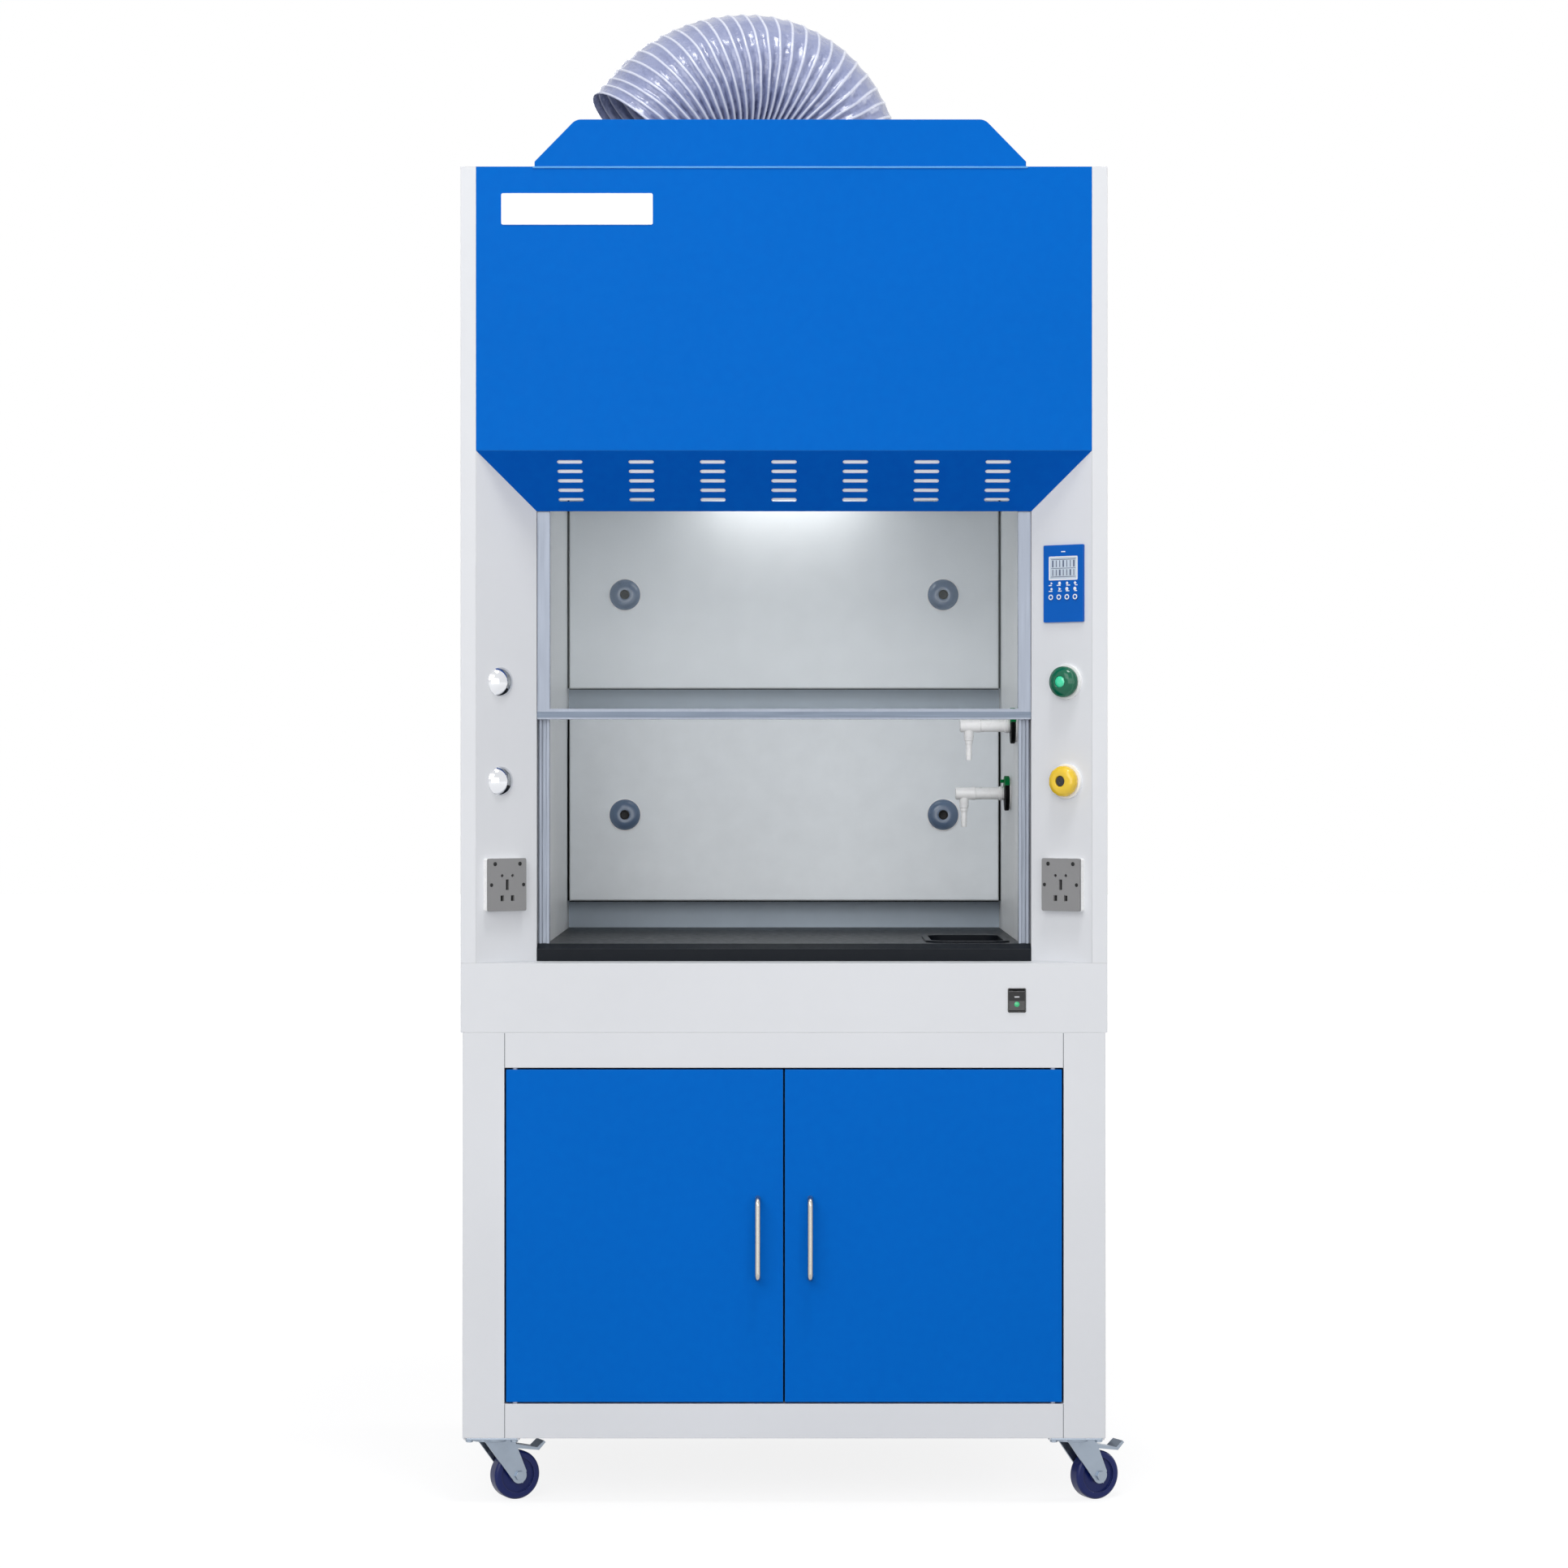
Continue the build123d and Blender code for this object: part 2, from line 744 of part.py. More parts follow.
# Upper fascia: a tray that faces the front
with BuildPart() as upper_fascia:
    slab((-inner_half, inner_half), (0, fascia_return), (fascia_bottom, roof))
    slab((sheet - inner_half, inner_half - sheet), (sheet, fascia_return),
         (fascia_bottom + sheet, roof - sheet), Mode.SUBTRACT)
keep(upper_fascia, "upper_fascia")

# Valance: the sloping panel over the window, with rows of air slots
valance_plane = Plane((0, front, fascia_bottom), x_dir=(1, 0, 0), z_dir=(0, -along_x, -along_y))
with BuildPart() as valance:
    with BuildSketch(valance_plane):
        Polygon((-inner_half, 0), (inner_half, 0), (window_half, -slope), (-window_half, -slope),
                align=None)
        with Locations((0, -slope / 2)):
            with GridLocations(slot_column_pitch, slot_row_pitch, slot_columns, slot_rows):
                SlotOverall(slot_length, slot_height, mode=Mode.SUBTRACT)
    extrude(amount=-sheet)
    split(bisect_by=Plane.XY.offset(fascia_bottom), keep=Keep.BOTTOM)
keep(valance, "valance")

# Name plate, left blank
with BuildPart() as name_plate:
    with BuildSketch(facing(0, plate_from_middle, roof - plate_drop)):
        RectangleRounded(plate_width, plate_height, plate_corner)
    extrude(amount=plate_thickness)
keep(name_plate, "name_plate")

# Cowl: a fascia with cut corners that hides the outlet, open at the back
with BuildPart() as cowl:
    with BuildSketch(facing(cowl_return, cowl_shift, roof)):
        Polygon((-cowl_half_width, 0), (cowl_half_width, 0), (cowl_half_width, cowl_foot),
                (cowl_half_width - cowl_cut, cowl_height),
                (cowl_cut - cowl_half_width, cowl_height), (-cowl_half_width, cowl_foot),
                align=None)
    extrude(amount=cowl_return)
    fillet(cowl.edges().filter_by(Axis.Y).group_by(Axis.Z)[-1], radius=cowl_corner)
    offset(amount=-sheet, openings=cowl.faces().sort_by(Axis.Y)[-1])
keep(cowl, "cowl")

# Roof and back sheets
with BuildPart() as roof_panel:
    slab((-inner_half, inner_half), (fascia_return, hood_depth - sheet), (roof - sheet, roof))
    with BuildSketch(Plane.XY.offset(roof - sheet)):
        with Locations((outlet_across, 0)):
            Circle(spigot_radius + face_gap)
    extrude(amount=sheet, mode=Mode.SUBTRACT)
keep(roof_panel, "roof_panel")

with BuildPart() as back_panel:
    slab((-inner_half, inner_half), (hood_depth - sheet, hood_depth), (apron_top, roof))
keep(back_panel, "back_panel")

# Chamber lining: side boards, a back board and a ceiling with a slot behind the baffles
with BuildPart() as liner_sides:
    slab((liner_half_width, liner_half_width + board), (liner_front, chamber_back),
         (worktop_top, ceiling_height))
    mirror(about=Plane.YZ)
keep(liner_sides, "liner_sides")

with BuildPart() as liner_back:
    slab((-liner_half_width - board, liner_half_width + board),
         (chamber_back, worktop_back), (worktop_top, ceiling_height))
keep(liner_back, "liner_back")

slot_front = exhaust_back - exhaust_slot_depth
with BuildPart() as liner_ceiling:
    slab((-liner_half_width - board, liner_half_width + board), (liner_front, worktop_back),
         (ceiling_height, ceiling_height + board))
    slab((-exhaust_slot_half, exhaust_slot_half), (slot_front, exhaust_back),
         (ceiling_height, ceiling_height + board), Mode.SUBTRACT)
keep(liner_ceiling, "liner_ceiling")

# Baffles: two boards that leave a slot under each, held off the back on four standoffs
baffle_lower_bottom = worktop_top + baffle_bottom_slot
baffle_lower_top = baffle_lower_bottom + baffle_lower_height
baffle_upper_bottom = baffle_lower_top + baffle_middle_slot
baffle_upper_top = ceiling_height - baffle_top_gap


def baffle(z_span, knob_at):
    """One baffle board with a bevelled front edge and two stud holes."""
    with BuildPart() as made:
        slab((-baffle_half_width, baffle_half_width), (baffle_deep, baffle_deep + board), z_span)
        chamfer(made.faces().sort_by(Axis.Y)[0].edges(), length=baffle_edge)
        with BuildSketch(facing(baffle_deep, 0, knob_at)):
            with GridLocations(2 * knob_across, 1, 2, 1):
                Circle(stud_radius + face_gap)
        extrude(amount=-board, mode=Mode.SUBTRACT)
    return made


baffle_upper = baffle((baffle_upper_bottom, baffle_upper_top), knob_high)
keep(baffle_upper, "baffle_upper")
baffle_lower = baffle((baffle_lower_bottom, baffle_lower_top), knob_low)
keep(baffle_lower, "baffle_lower")

# Baffle knobs: a domed cap with a recess, a stud through the board and a standoff to the back
knob_spots = [(side * knob_across, height) for side in (-1, 1) for height in (knob_low, knob_high)]
with BuildPart() as baffle_knobs:
    for across, height in knob_spots:
        with BuildSketch(Plane((across, 0, height), x_dir=(1, 0, 0), z_dir=(0, 0, 1))):
            with BuildLine():
                cap_back = deep(baffle_deep - face_gap)
                Line((cap_hole, cap_back), (cap_radius, cap_back))
                ThreePointArc((cap_radius, cap_back),
                              (cap_shoulder_radius, cap_back - cap_shoulder_rise),
                              (cap_hole, cap_back - cap_rise))
                Line((cap_hole, cap_back - cap_rise), (cap_hole, cap_back))
            make_face()
        revolve(axis=Axis((across, 0, height), (0, 1, 0)))
        with BuildSketch(facing(baffle_deep - face_gap - cap_rise + cap_hole_depth, across, height)):
            Circle(cap_hole)
        extrude(amount=-(cap_rise - cap_hole_depth))
        with BuildSketch(facing(baffle_deep - face_gap, across, height)):
            Circle(stud_radius)
        extrude(amount=-(board + 2 * face_gap))
        with BuildSketch(facing(baffle_deep + board + face_gap, across, height)):
            Circle(standoff_radius)
        extrude(amount=-(baffle_plenum - board - face_gap))
keep(baffle_knobs, "baffle_knobs")

# Chamber lamp, flat against the ceiling
with BuildPart() as chamber_lamp:
    slab((-lamp_half_length, lamp_half_length), (lamp_deep, lamp_deep + lamp_width),
         (ceiling_height - lamp_height, ceiling_height))
    fillet(chamber_lamp.edges().filter_by(Axis.X).group_by(Axis.Z)[0], radius=lamp_height / 2)
keep(chamber_lamp, "chamber_lamp")

# Sash: a framed pane that slides up and down in front of two grooved tracks
glass_front = sash_front + (sash_thickness - glass_thickness) / 2
pane_half = sash_half_width - stile_width
pane = (sash_bottom + sash_rail, sash_top - sash_rail)
groove_middle = track_outer - track_width / 2
with BuildPart() as sash_frame:
    slab((-sash_half_width, sash_half_width), (sash_front, sash_back), (sash_bottom, sash_top))
    slab((-pane_half, pane_half), (sash_front, sash_back), pane, Mode.SUBTRACT)
    bite = glass_bite + face_gap
    slab((-pane_half - bite, pane_half + bite),
         (glass_front - face_gap, glass_front + glass_thickness + face_gap),
         (pane[0] - bite, pane[1] + bite), Mode.SUBTRACT)
    for side in (-1, 1):
        for foot in (sash_bottom + sash_rail, sash_top - sash_rail - glider_length):
            half = track_groove / 2 - face_gap
            across = side * groove_middle
            slab((across - half, across + half),
                 (sash_back, track_front + track_groove_depth - face_gap),
                 (foot, foot + glider_length))
        lug = sorted((side * sash_half_width, side * (cable_from_middle + lug_depth / 2)))
        lug_middle = sash_front + sash_thickness / 2
        slab(lug, (lug_middle - lug_depth / 2, lug_middle + lug_depth / 2),
             (sash_top - lug_below_top - lug_height, sash_top - lug_below_top))
keep(sash_frame, "sash_frame")

with BuildPart() as sash_glass:
    slab((-pane_half - glass_bite, pane_half + glass_bite),
         (glass_front, glass_front + glass_thickness), (pane[0] - glass_bite, pane[1] + glass_bite))
keep(sash_glass, "sash_glass")

with BuildPart() as sash_tracks:
    slab((track_outer - track_width, track_outer), (track_front, track_front + track_depth),
         (worktop_top, sash_top + sash_lift))
    slab((track_outer, window_half), (track_front + track_depth - track_web,
         track_front + track_depth), (worktop_top, window_top))
    slab((groove_middle - track_groove / 2, groove_middle + track_groove / 2),
         (track_front, track_front + track_groove_depth), (worktop_top, sash_top + sash_lift),
         Mode.SUBTRACT)
    mirror(about=Plane.YZ)
keep(sash_tracks, "sash_tracks")

# Sash balance: a cross shaft with two pulleys, carried in two brackets under the roof
with BuildPart() as pulley_shaft:
    shaft_end = Plane((-shaft_half_length, deep(pulley_deep), pulley_height), x_dir=(0, 1, 0),
                      z_dir=(1, 0, 0))
    with BuildSketch(shaft_end):
        Circle(shaft_radius)
    extrude(amount=2 * shaft_half_length)
    for side in (-1, 1):
        middle = side * cable_from_middle
        with BuildSketch(Plane((0, deep(pulley_deep), pulley_height), x_dir=(1, 0, 0),
                               z_dir=(0, -1, 0))):
            Polygon((middle - pulley_width / 2, shaft_radius - pulley_into_shaft),
                    (middle + pulley_width / 2, shaft_radius - pulley_into_shaft),
                    (middle + pulley_width / 2, pulley_radius),
                    (middle + pulley_groove_half, pulley_root),
                    (middle - pulley_groove_half, pulley_root),
                    (middle - pulley_width / 2, pulley_radius), align=None)
        revolve(axis=Axis((0, deep(pulley_deep), pulley_height), (1, 0, 0)))
keep(pulley_shaft, "pulley_shaft")

with BuildPart() as pulley_brackets:
    slab((bracket_from_middle, bracket_from_middle + bracket_thickness),
         (pulley_deep - bracket_width / 2, pulley_deep + bracket_width / 2),
         (pulley_height - bracket_width / 2, roof - sheet))
    with BuildSketch(Plane((bracket_from_middle, deep(pulley_deep), pulley_height),
                           x_dir=(0, 1, 0), z_dir=(1, 0, 0))):
        Circle(shaft_radius + running_gap)
    extrude(amount=bracket_thickness, mode=Mode.SUBTRACT)
    mirror(about=Plane.YZ)
keep(pulley_brackets, "pulley_brackets")


def cable_run(depth, low, high):
    """The two upright cables at one depth, one on each side."""
    with BuildPart() as run:
        with BuildSketch(Plane.XY.offset(low)):
            with Locations((-cable_from_middle, deep(depth)), (cable_from_middle, deep(depth))):
                Circle(cable_radius)
        extrude(amount=high - low)
    return run


sash_cables_front = cable_run(cable_front_deep, sash_top - lug_below_top, pulley_height)
keep(sash_cables_front, "sash_cables_front")
weight_top = weight_bottom + weight_height
sash_cables_rear = cable_run(cable_rear_deep, weight_top, pulley_height)
keep(sash_cables_rear, "sash_cables_rear")

with BuildPart() as counterweights:
    slab((cable_from_middle - weight_width / 2, cable_from_middle + weight_width / 2),
         (cable_rear_deep - weight_width / 2, cable_rear_deep + weight_width / 2),
         (weight_bottom, weight_top))
    chamfer(counterweights.edges().filter_by(Axis.Z), length=weight_chamfer)
    mirror(about=Plane.YZ)
keep(counterweights, "counterweights")

# Fan housing: a scroll that blows up through the roof, with a box from the ceiling slot behind
with BuildPart() as fan_housing:
    with BuildSketch(facing(scroll_back, scroll_across, scroll_height)):
        Circle(scroll_radius)
        with Locations((outlet_across - scroll_across, 0)):
            Rectangle(outlet_width, outlet_top - scroll_height, align=(Align.CENTER, Align.MIN))
    extrude(amount=scroll_depth)
    inlet_span = (-inlet_box_left, inlet_box_right)
    inlet_low = ceiling_height + board
    slab(inlet_span, (scroll_back, exhaust_back), (inlet_low, inlet_low + inlet_box_height))
    with BuildSketch(Plane.XY.offset(outlet_top)):
        with Locations((outlet_across, 0)):
            Rectangle(outlet_width, scroll_depth)
    with BuildSketch(Plane.XY.offset(roof - fascia_return)):
        with Locations((outlet_across, 0)):
            Circle(spigot_radius)
    loft()
    with BuildSketch(Plane.XY.offset(roof - fascia_return)):
        with Locations((outlet_across, 0)):
            Circle(spigot_radius)
    extrude(amount=fascia_return + spigot_height)
    with BuildSketch(facing(scroll_back - fan_plate, scroll_across, scroll_height)):
        Circle(scroll_radius - fan_plate)
        with Locations((outlet_across - scroll_across, 0)):
            Rectangle(outlet_width - 2 * fan_plate, outlet_top - scroll_height,
                      align=(Align.CENTER, Align.MIN))
    extrude(amount=scroll_depth - 2 * fan_plate, mode=Mode.SUBTRACT)
    slab((inlet_span[0] + fan_plate, inlet_span[1] - fan_plate),
         (scroll_back + fan_plate, exhaust_back - fan_plate),
         (inlet_low, inlet_low + inlet_box_height - fan_plate), Mode.SUBTRACT)
    with BuildSketch(Plane.XY.offset(outlet_top)):
        with Locations((outlet_across, 0)):
            Rectangle(outlet_width - 2 * fan_plate, scroll_depth - 2 * fan_plate)
    with BuildSketch(Plane.XY.offset(roof - fascia_return)):
        with Locations((outlet_across, 0)):
            Circle(spigot_radius - fan_plate)
    loft(mode=Mode.SUBTRACT)
    with BuildSketch(Plane.XY.offset(roof - fascia_return)):
        with Locations((outlet_across, 0)):
            Circle(spigot_radius - fan_plate)
    extrude(amount=fascia_return + spigot_height, mode=Mode.SUBTRACT)
    with BuildSketch(facing(scroll_back + fan_plate, scroll_across, scroll_height)):
        Circle(inlet_radius)
    extrude(amount=2 * fan_plate, mode=Mode.SUBTRACT)
    with BuildSketch(facing(scroll_front + fan_plate, scroll_across, scroll_height)):
        Circle(motor_shaft_radius + running_gap)
    extrude(amount=fan_plate, mode=Mode.SUBTRACT)
keep(fan_housing, "fan_housing")

# Fan wheel: a back disc, blades, a front ring and a hub on the motor's shaft
fan_front = scroll_front + (scroll_depth - fan_depth) / 2
with BuildPart() as fan_wheel:
    with BuildSketch(facing(fan_front + fan_plate, scroll_across, scroll_height)):
        Circle(wheel_disc_radius)
    extrude(amount=fan_plate)
    with BuildSketch(facing(fan_front + fan_depth, scroll_across, scroll_height)):
        Circle(wheel_disc_radius)
        Circle(wheel_disc_radius - fan_blade_length, mode=Mode.SUBTRACT)
    extrude(amount=fan_plate)
    with BuildSketch(facing(fan_front + fan_depth, scroll_across, scroll_height)):
        with PolarLocations(wheel_disc_radius - fan_blade_length / 2, fan_blades):
            Rectangle(fan_blade_length, fan_blade_thickness, rotation=fan_blade_angle)
    extrude(amount=fan_depth)
    with BuildSketch(facing(fan_front + fan_depth / 2, scroll_across, scroll_height)):
        Circle(hub_radius)
    extrude(amount=fan_depth / 2)
    with BuildSketch(facing(fan_front, scroll_across, scroll_height)):
        Circle(motor_shaft_radius)
    extrude(amount=fan_front - scroll_front + motor_socket)
keep(fan_wheel, "fan_wheel")

# Fan motor, bolted to the scroll's front
with BuildPart() as fan_motor:
    with BuildSketch(facing(scroll_front, scroll_across, scroll_height)):
        Circle(motor_radius)
    extrude(amount=motor_length)
    fillet(fan_motor.faces().sort_by(Axis.Y)[0].edges(), radius=motor_shaft_radius)
    with BuildSketch(facing(scroll_front, scroll_across, scroll_height)):
        Circle(motor_shaft_radius + running_gap)
    extrude(amount=motor_socket + face_gap, mode=Mode.SUBTRACT)
    slab((scroll_across - motor_foot_half, scroll_across + motor_foot_half),
         (scroll_front - motor_foot_far, scroll_front - motor_foot_near),
         (ceiling_height + board, scroll_height - motor_radius + motor_foot_bite))
keep(fan_motor, "fan_motor")

# Exhaust hose: up from the spigot, over in two arcs and down to an open cuff
hose_heading = Vector(-cos(radians(hose_turn)), -sin(radians(hose_turn)), 0)
hose_across = Vector(sin(radians(hose_turn)), -cos(radians(hose_turn)), 0)
hose_foot = Vector(outlet_across, 0, roof + hose_start)
riser_top = Vector(outlet_across, 0, hose_riser_top)
near_centre = riser_top + hose_heading * hose_near_bend
crest = near_centre + Vector(0, 0, hose_near_bend)
far_centre = crest - Vector(0, 0, hose_far_bend)
sweep_out = radians(hose_far_sweep)
cuff_start = (far_centre + hose_heading * (hose_far_bend * sin(sweep_out))
              + Vector(0, 0, hose_far_bend * cos(sweep_out)))
cuff_way = hose_heading * cos(sweep_out) - Vector(0, 0, sin(sweep_out))


def hose_ring(centre, way):
    """The hose's ring section on a plane across its line."""
    with BuildSketch(Plane(centre, x_dir=hose_across, z_dir=way)) as ring:
        Circle(hose_bore + hose_wall)
        Circle(hose_bore, mode=Mode.SUBTRACT)
    return ring.sketch


with BuildPart() as exhaust_hose:
    extrude(hose_ring(hose_foot, (0, 0, 1)), amount=hose_riser_top - roof - hose_start)
    revolve(hose_ring(riser_top, (0, 0, 1)), axis=Axis(near_centre, hose_across),
            revolution_arc=90)
    revolve(hose_ring(crest, hose_heading), axis=Axis(far_centre, hose_across),
            revolution_arc=hose_far_sweep)
    extrude(hose_ring(cuff_start, cuff_way), amount=hose_cuff)
keep(exhaust_hose, "exhaust_hose")

# Hose clamp: a band with its screw housing on the back
clamp_low = roof + hose_start + clamp_above_end
clamp_inner = hose_bore + hose_wall + face_gap
with BuildPart() as hose_clamp:
    with BuildSketch(Plane.XY.offset(clamp_low)):
        with Locations((outlet_across, 0)):
            Circle(clamp_inner + clamp_thickness)
    extrude(amount=clamp_width)
    with Locations((outlet_across, clamp_inner + clamp_screw_width / 2, clamp_low + clamp_width / 2)):
        Box(clamp_screw_length, clamp_screw_width, clamp_width)
    with BuildSketch(Plane.XY.offset(clamp_low)):
        with Locations((outlet_across, 0)):
            Circle(clamp_inner)
    extrude(amount=clamp_width, mode=Mode.SUBTRACT)
keep(hose_clamp, "hose_clamp")


# Service outlets on the right wall: a disc on the wall, a barrel and a hose nozzle
def nozzle_profile(depth, height):
    """Half the outline of a hose nozzle that hangs from a barrel."""
    across = liner_half_width - outlet_nozzle_in
    with BuildSketch(Plane((across, deep(depth), height), x_dir=(1, 0, 0), z_dir=(0, -1, 0))) as half:
        Polygon((0, 0), (outlet_nozzle_top, 0), (outlet_nozzle_top, -outlet_nozzle_step),
                (outlet_nozzle_ring, -outlet_nozzle_neck),
                (outlet_nozzle_tip, outlet_nozzle_grip - outlet_nozzle_drop),
                (outlet_nozzle_tip, -outlet_nozzle_drop), (0, -outlet_nozzle_drop), align=None)
    return half.sketch


outlets = ((upper_outlet_height, upper_outlet_deep), (lower_outlet_height, lower_outlet_deep))
with BuildPart() as service_outlets:
    for height, depth in outlets:
        with BuildSketch(Plane((liner_half_width, deep(depth), height), x_dir=(0, 1, 0),
                               z_dir=(-1, 0, 0))):
            Circle(outlet_disc_radius)
        extrude(amount=outlet_disc_thickness)
        with BuildSketch(Plane((liner_half_width, deep(depth), height), x_dir=(0, 1, 0),
                               z_dir=(-1, 0, 0))):
            Circle(outlet_tube_radius)
        extrude(amount=outlet_reach)
        nozzle_across = liner_half_width - outlet_nozzle_in
        revolve(nozzle_profile(depth, height),
                axis=Axis((nozzle_across, deep(depth), height), (0, 0, 1)))
keep(service_outlets, "service_outlets")


# Fittings on the bevelled posts, all seated on the bevel's face
def on_bevel(height, along=fitting_along, rise=0.0):
    """A plane on the right bevel, centred on a fitting."""
    base = bevel_plane(rise)
    return Plane(base.origin + base.x_dir * along + base.y_dir * height, x_dir=base.x_dir,
                 z_dir=base.z_dir)


valve_spots = (knob_upper_height, knob_lower_height)
with BuildPart() as valve_bases:
    for height in valve_spots:
        with BuildSketch(on_bevel(height)):
            Circle(valve_base_radius)
            Circle(valve_spindle + running_gap, mode=Mode.SUBTRACT)
        extrude(amount=valve_base_height)
keep(valve_bases, "valve_bases")


def valve_knob(height):
    """A fluted knob and its spindle, which turns in the base."""
    with BuildPart() as knob:
        with BuildSketch(on_bevel(height, rise=valve_base_height + face_gap)):
            Circle(valve_knob_radius)
            with PolarLocations(valve_knob_radius + valve_flute_out, valve_flutes):
                Circle(valve_flute_radius, mode=Mode.SUBTRACT)
        extrude(amount=valve_knob_height)
        outward = Axis(on_bevel(height).origin, on_bevel(height).z_dir)
        fillet(knob.faces().sort_by(outward)[-1].edges(), radius=valve_knob_edge)
        with BuildSketch(on_bevel(height, rise=face_gap)):
            Circle(valve_spindle)
        extrude(amount=valve_base_height + valve_knob_height / 2)
    return knob


water_valve_knob = valve_knob(knob_upper_height)
keep(water_valve_knob, "water_valve_knob")
gas_valve_knob = valve_knob(knob_lower_height)
keep(gas_valve_knob, "gas_valve_knob")


def to_left(place):
    """The same place on the left post."""
    return Plane((-place.origin.X, place.origin.Y, place.origin.Z),
                 x_dir=(-place.x_dir.X, place.x_dir.Y, 0), z_dir=(-place.z_dir.X, place.z_dir.Y, 0))


# Polished blanking plugs: two shallow domes on the left post, at the heights of the valves
dome_radius = (plug_radius**2 + plug_rise**2) / (2 * plug_rise)
with BuildPart() as blanking_plugs:
    for height in valve_spots:
        seat = to_left(on_bevel(height))
        with BuildSketch(Plane(seat.origin, x_dir=seat.x_dir, z_dir=-seat.y_dir)):
            with BuildLine():
                Line((0, 0), (plug_radius, 0))
                RadiusArc((plug_radius, 0), (0, plug_rise), -dome_radius)
                Line((0, plug_rise), (0, 0))
            make_face()
        revolve(axis=Axis(seat.origin, seat.z_dir))
keep(blanking_plugs, "blanking_plugs")

# Control panel: a plate with a display recess and four push keys in a row
key_first = panel_along - key_pitch * (key_count - 1) / 2
key_height = panel_height_centre - key_drop
with BuildPart() as control_panel:
    with BuildSketch(on_bevel(panel_height_centre, panel_along)):
        RectangleRounded(panel_width, panel_tall, panel_corner)
    extrude(amount=panel_thickness)
    with BuildSketch(on_bevel(panel_height_centre + display_up, panel_along,
                              panel_thickness - display_recess)):
        Rectangle(display_width, display_tall)
    extrude(amount=display_recess, mode=Mode.SUBTRACT)
    for number in range(key_count):
        with BuildSketch(on_bevel(key_height, key_first + number * key_pitch)):
            Circle(key_radius + key_gap)
        extrude(amount=panel_thickness, mode=Mode.SUBTRACT)
keep(control_panel, "control_panel")

for number in range(key_count):
    with BuildPart() as panel_key:
        with BuildSketch(on_bevel(key_height, key_first + number * key_pitch, key_foot)):
            Circle(key_radius)
        extrude(amount=key_length)
        chamfer(panel_key.edges().filter_by(GeomType.CIRCLE), length=key_chamfer)
    keep(panel_key, f"panel_key_{number + 1}")


# Sockets: a box and a slotted plate on each post
def socket_plane(rise=0.0):
    """The plane of a socket on the right post."""
    return on_bevel(socket_height_centre, socket_along, rise)


with BuildPart() as socket_boxes:
    with BuildSketch(socket_plane()):
        RectangleRounded(socket_width, socket_tall, socket_corner)
        RectangleRounded(socket_width - 2 * socket_wall, socket_tall - 2 * socket_wall,
                         socket_inner_corner, mode=Mode.SUBTRACT)
    extrude(amount=socket_box_depth)
    mirror(about=Plane.YZ)
keep(socket_boxes, "socket_boxes")

with BuildPart() as socket_plates:
    with BuildSketch(socket_plane(socket_box_depth)):
        RectangleRounded(socket_width, socket_tall, socket_corner)
        with Locations((-socket_pin_across, socket_pin_up), (socket_pin_across, socket_pin_up)):
            Circle(socket_pin_radius, mode=Mode.SUBTRACT)
        Rectangle(socket_earth_width, socket_earth_tall, mode=Mode.SUBTRACT)
        with Locations((-socket_pin_across, -socket_flat_down), (socket_pin_across, -socket_flat_down)):
            Rectangle(socket_flat_width, socket_flat_tall, mode=Mode.SUBTRACT)
    extrude(amount=socket_plate_thickness)
    mirror(about=Plane.YZ)
keep(socket_plates, "socket_plates")
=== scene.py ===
"""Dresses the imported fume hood: finishes for its solids, detailed pieces, light and camera.

Lengths in this file are metres unless a name ends in _mm. The frame is the CAD frame.
"""
import json
import math
import random

import bmesh
import bpy
from mathutils import Matrix, Vector, noise


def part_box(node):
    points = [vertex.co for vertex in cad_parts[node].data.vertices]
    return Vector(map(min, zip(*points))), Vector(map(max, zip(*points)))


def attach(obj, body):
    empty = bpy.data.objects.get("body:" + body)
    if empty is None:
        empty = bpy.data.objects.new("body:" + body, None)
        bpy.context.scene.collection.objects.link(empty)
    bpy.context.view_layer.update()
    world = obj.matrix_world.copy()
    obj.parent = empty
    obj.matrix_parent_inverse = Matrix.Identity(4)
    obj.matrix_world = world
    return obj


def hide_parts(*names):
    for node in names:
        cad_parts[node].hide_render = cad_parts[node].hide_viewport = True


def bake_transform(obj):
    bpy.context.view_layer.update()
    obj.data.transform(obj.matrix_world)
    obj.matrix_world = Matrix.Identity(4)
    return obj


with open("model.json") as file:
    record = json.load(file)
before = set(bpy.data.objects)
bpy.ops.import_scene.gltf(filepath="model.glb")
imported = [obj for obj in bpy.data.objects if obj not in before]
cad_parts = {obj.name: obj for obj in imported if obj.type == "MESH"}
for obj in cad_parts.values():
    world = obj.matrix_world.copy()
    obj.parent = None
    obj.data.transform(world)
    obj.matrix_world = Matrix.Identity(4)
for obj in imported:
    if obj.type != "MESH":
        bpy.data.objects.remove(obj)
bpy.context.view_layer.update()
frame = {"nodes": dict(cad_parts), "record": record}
nodes = frame["nodes"]
scene = bpy.context.scene
MM = 0.001


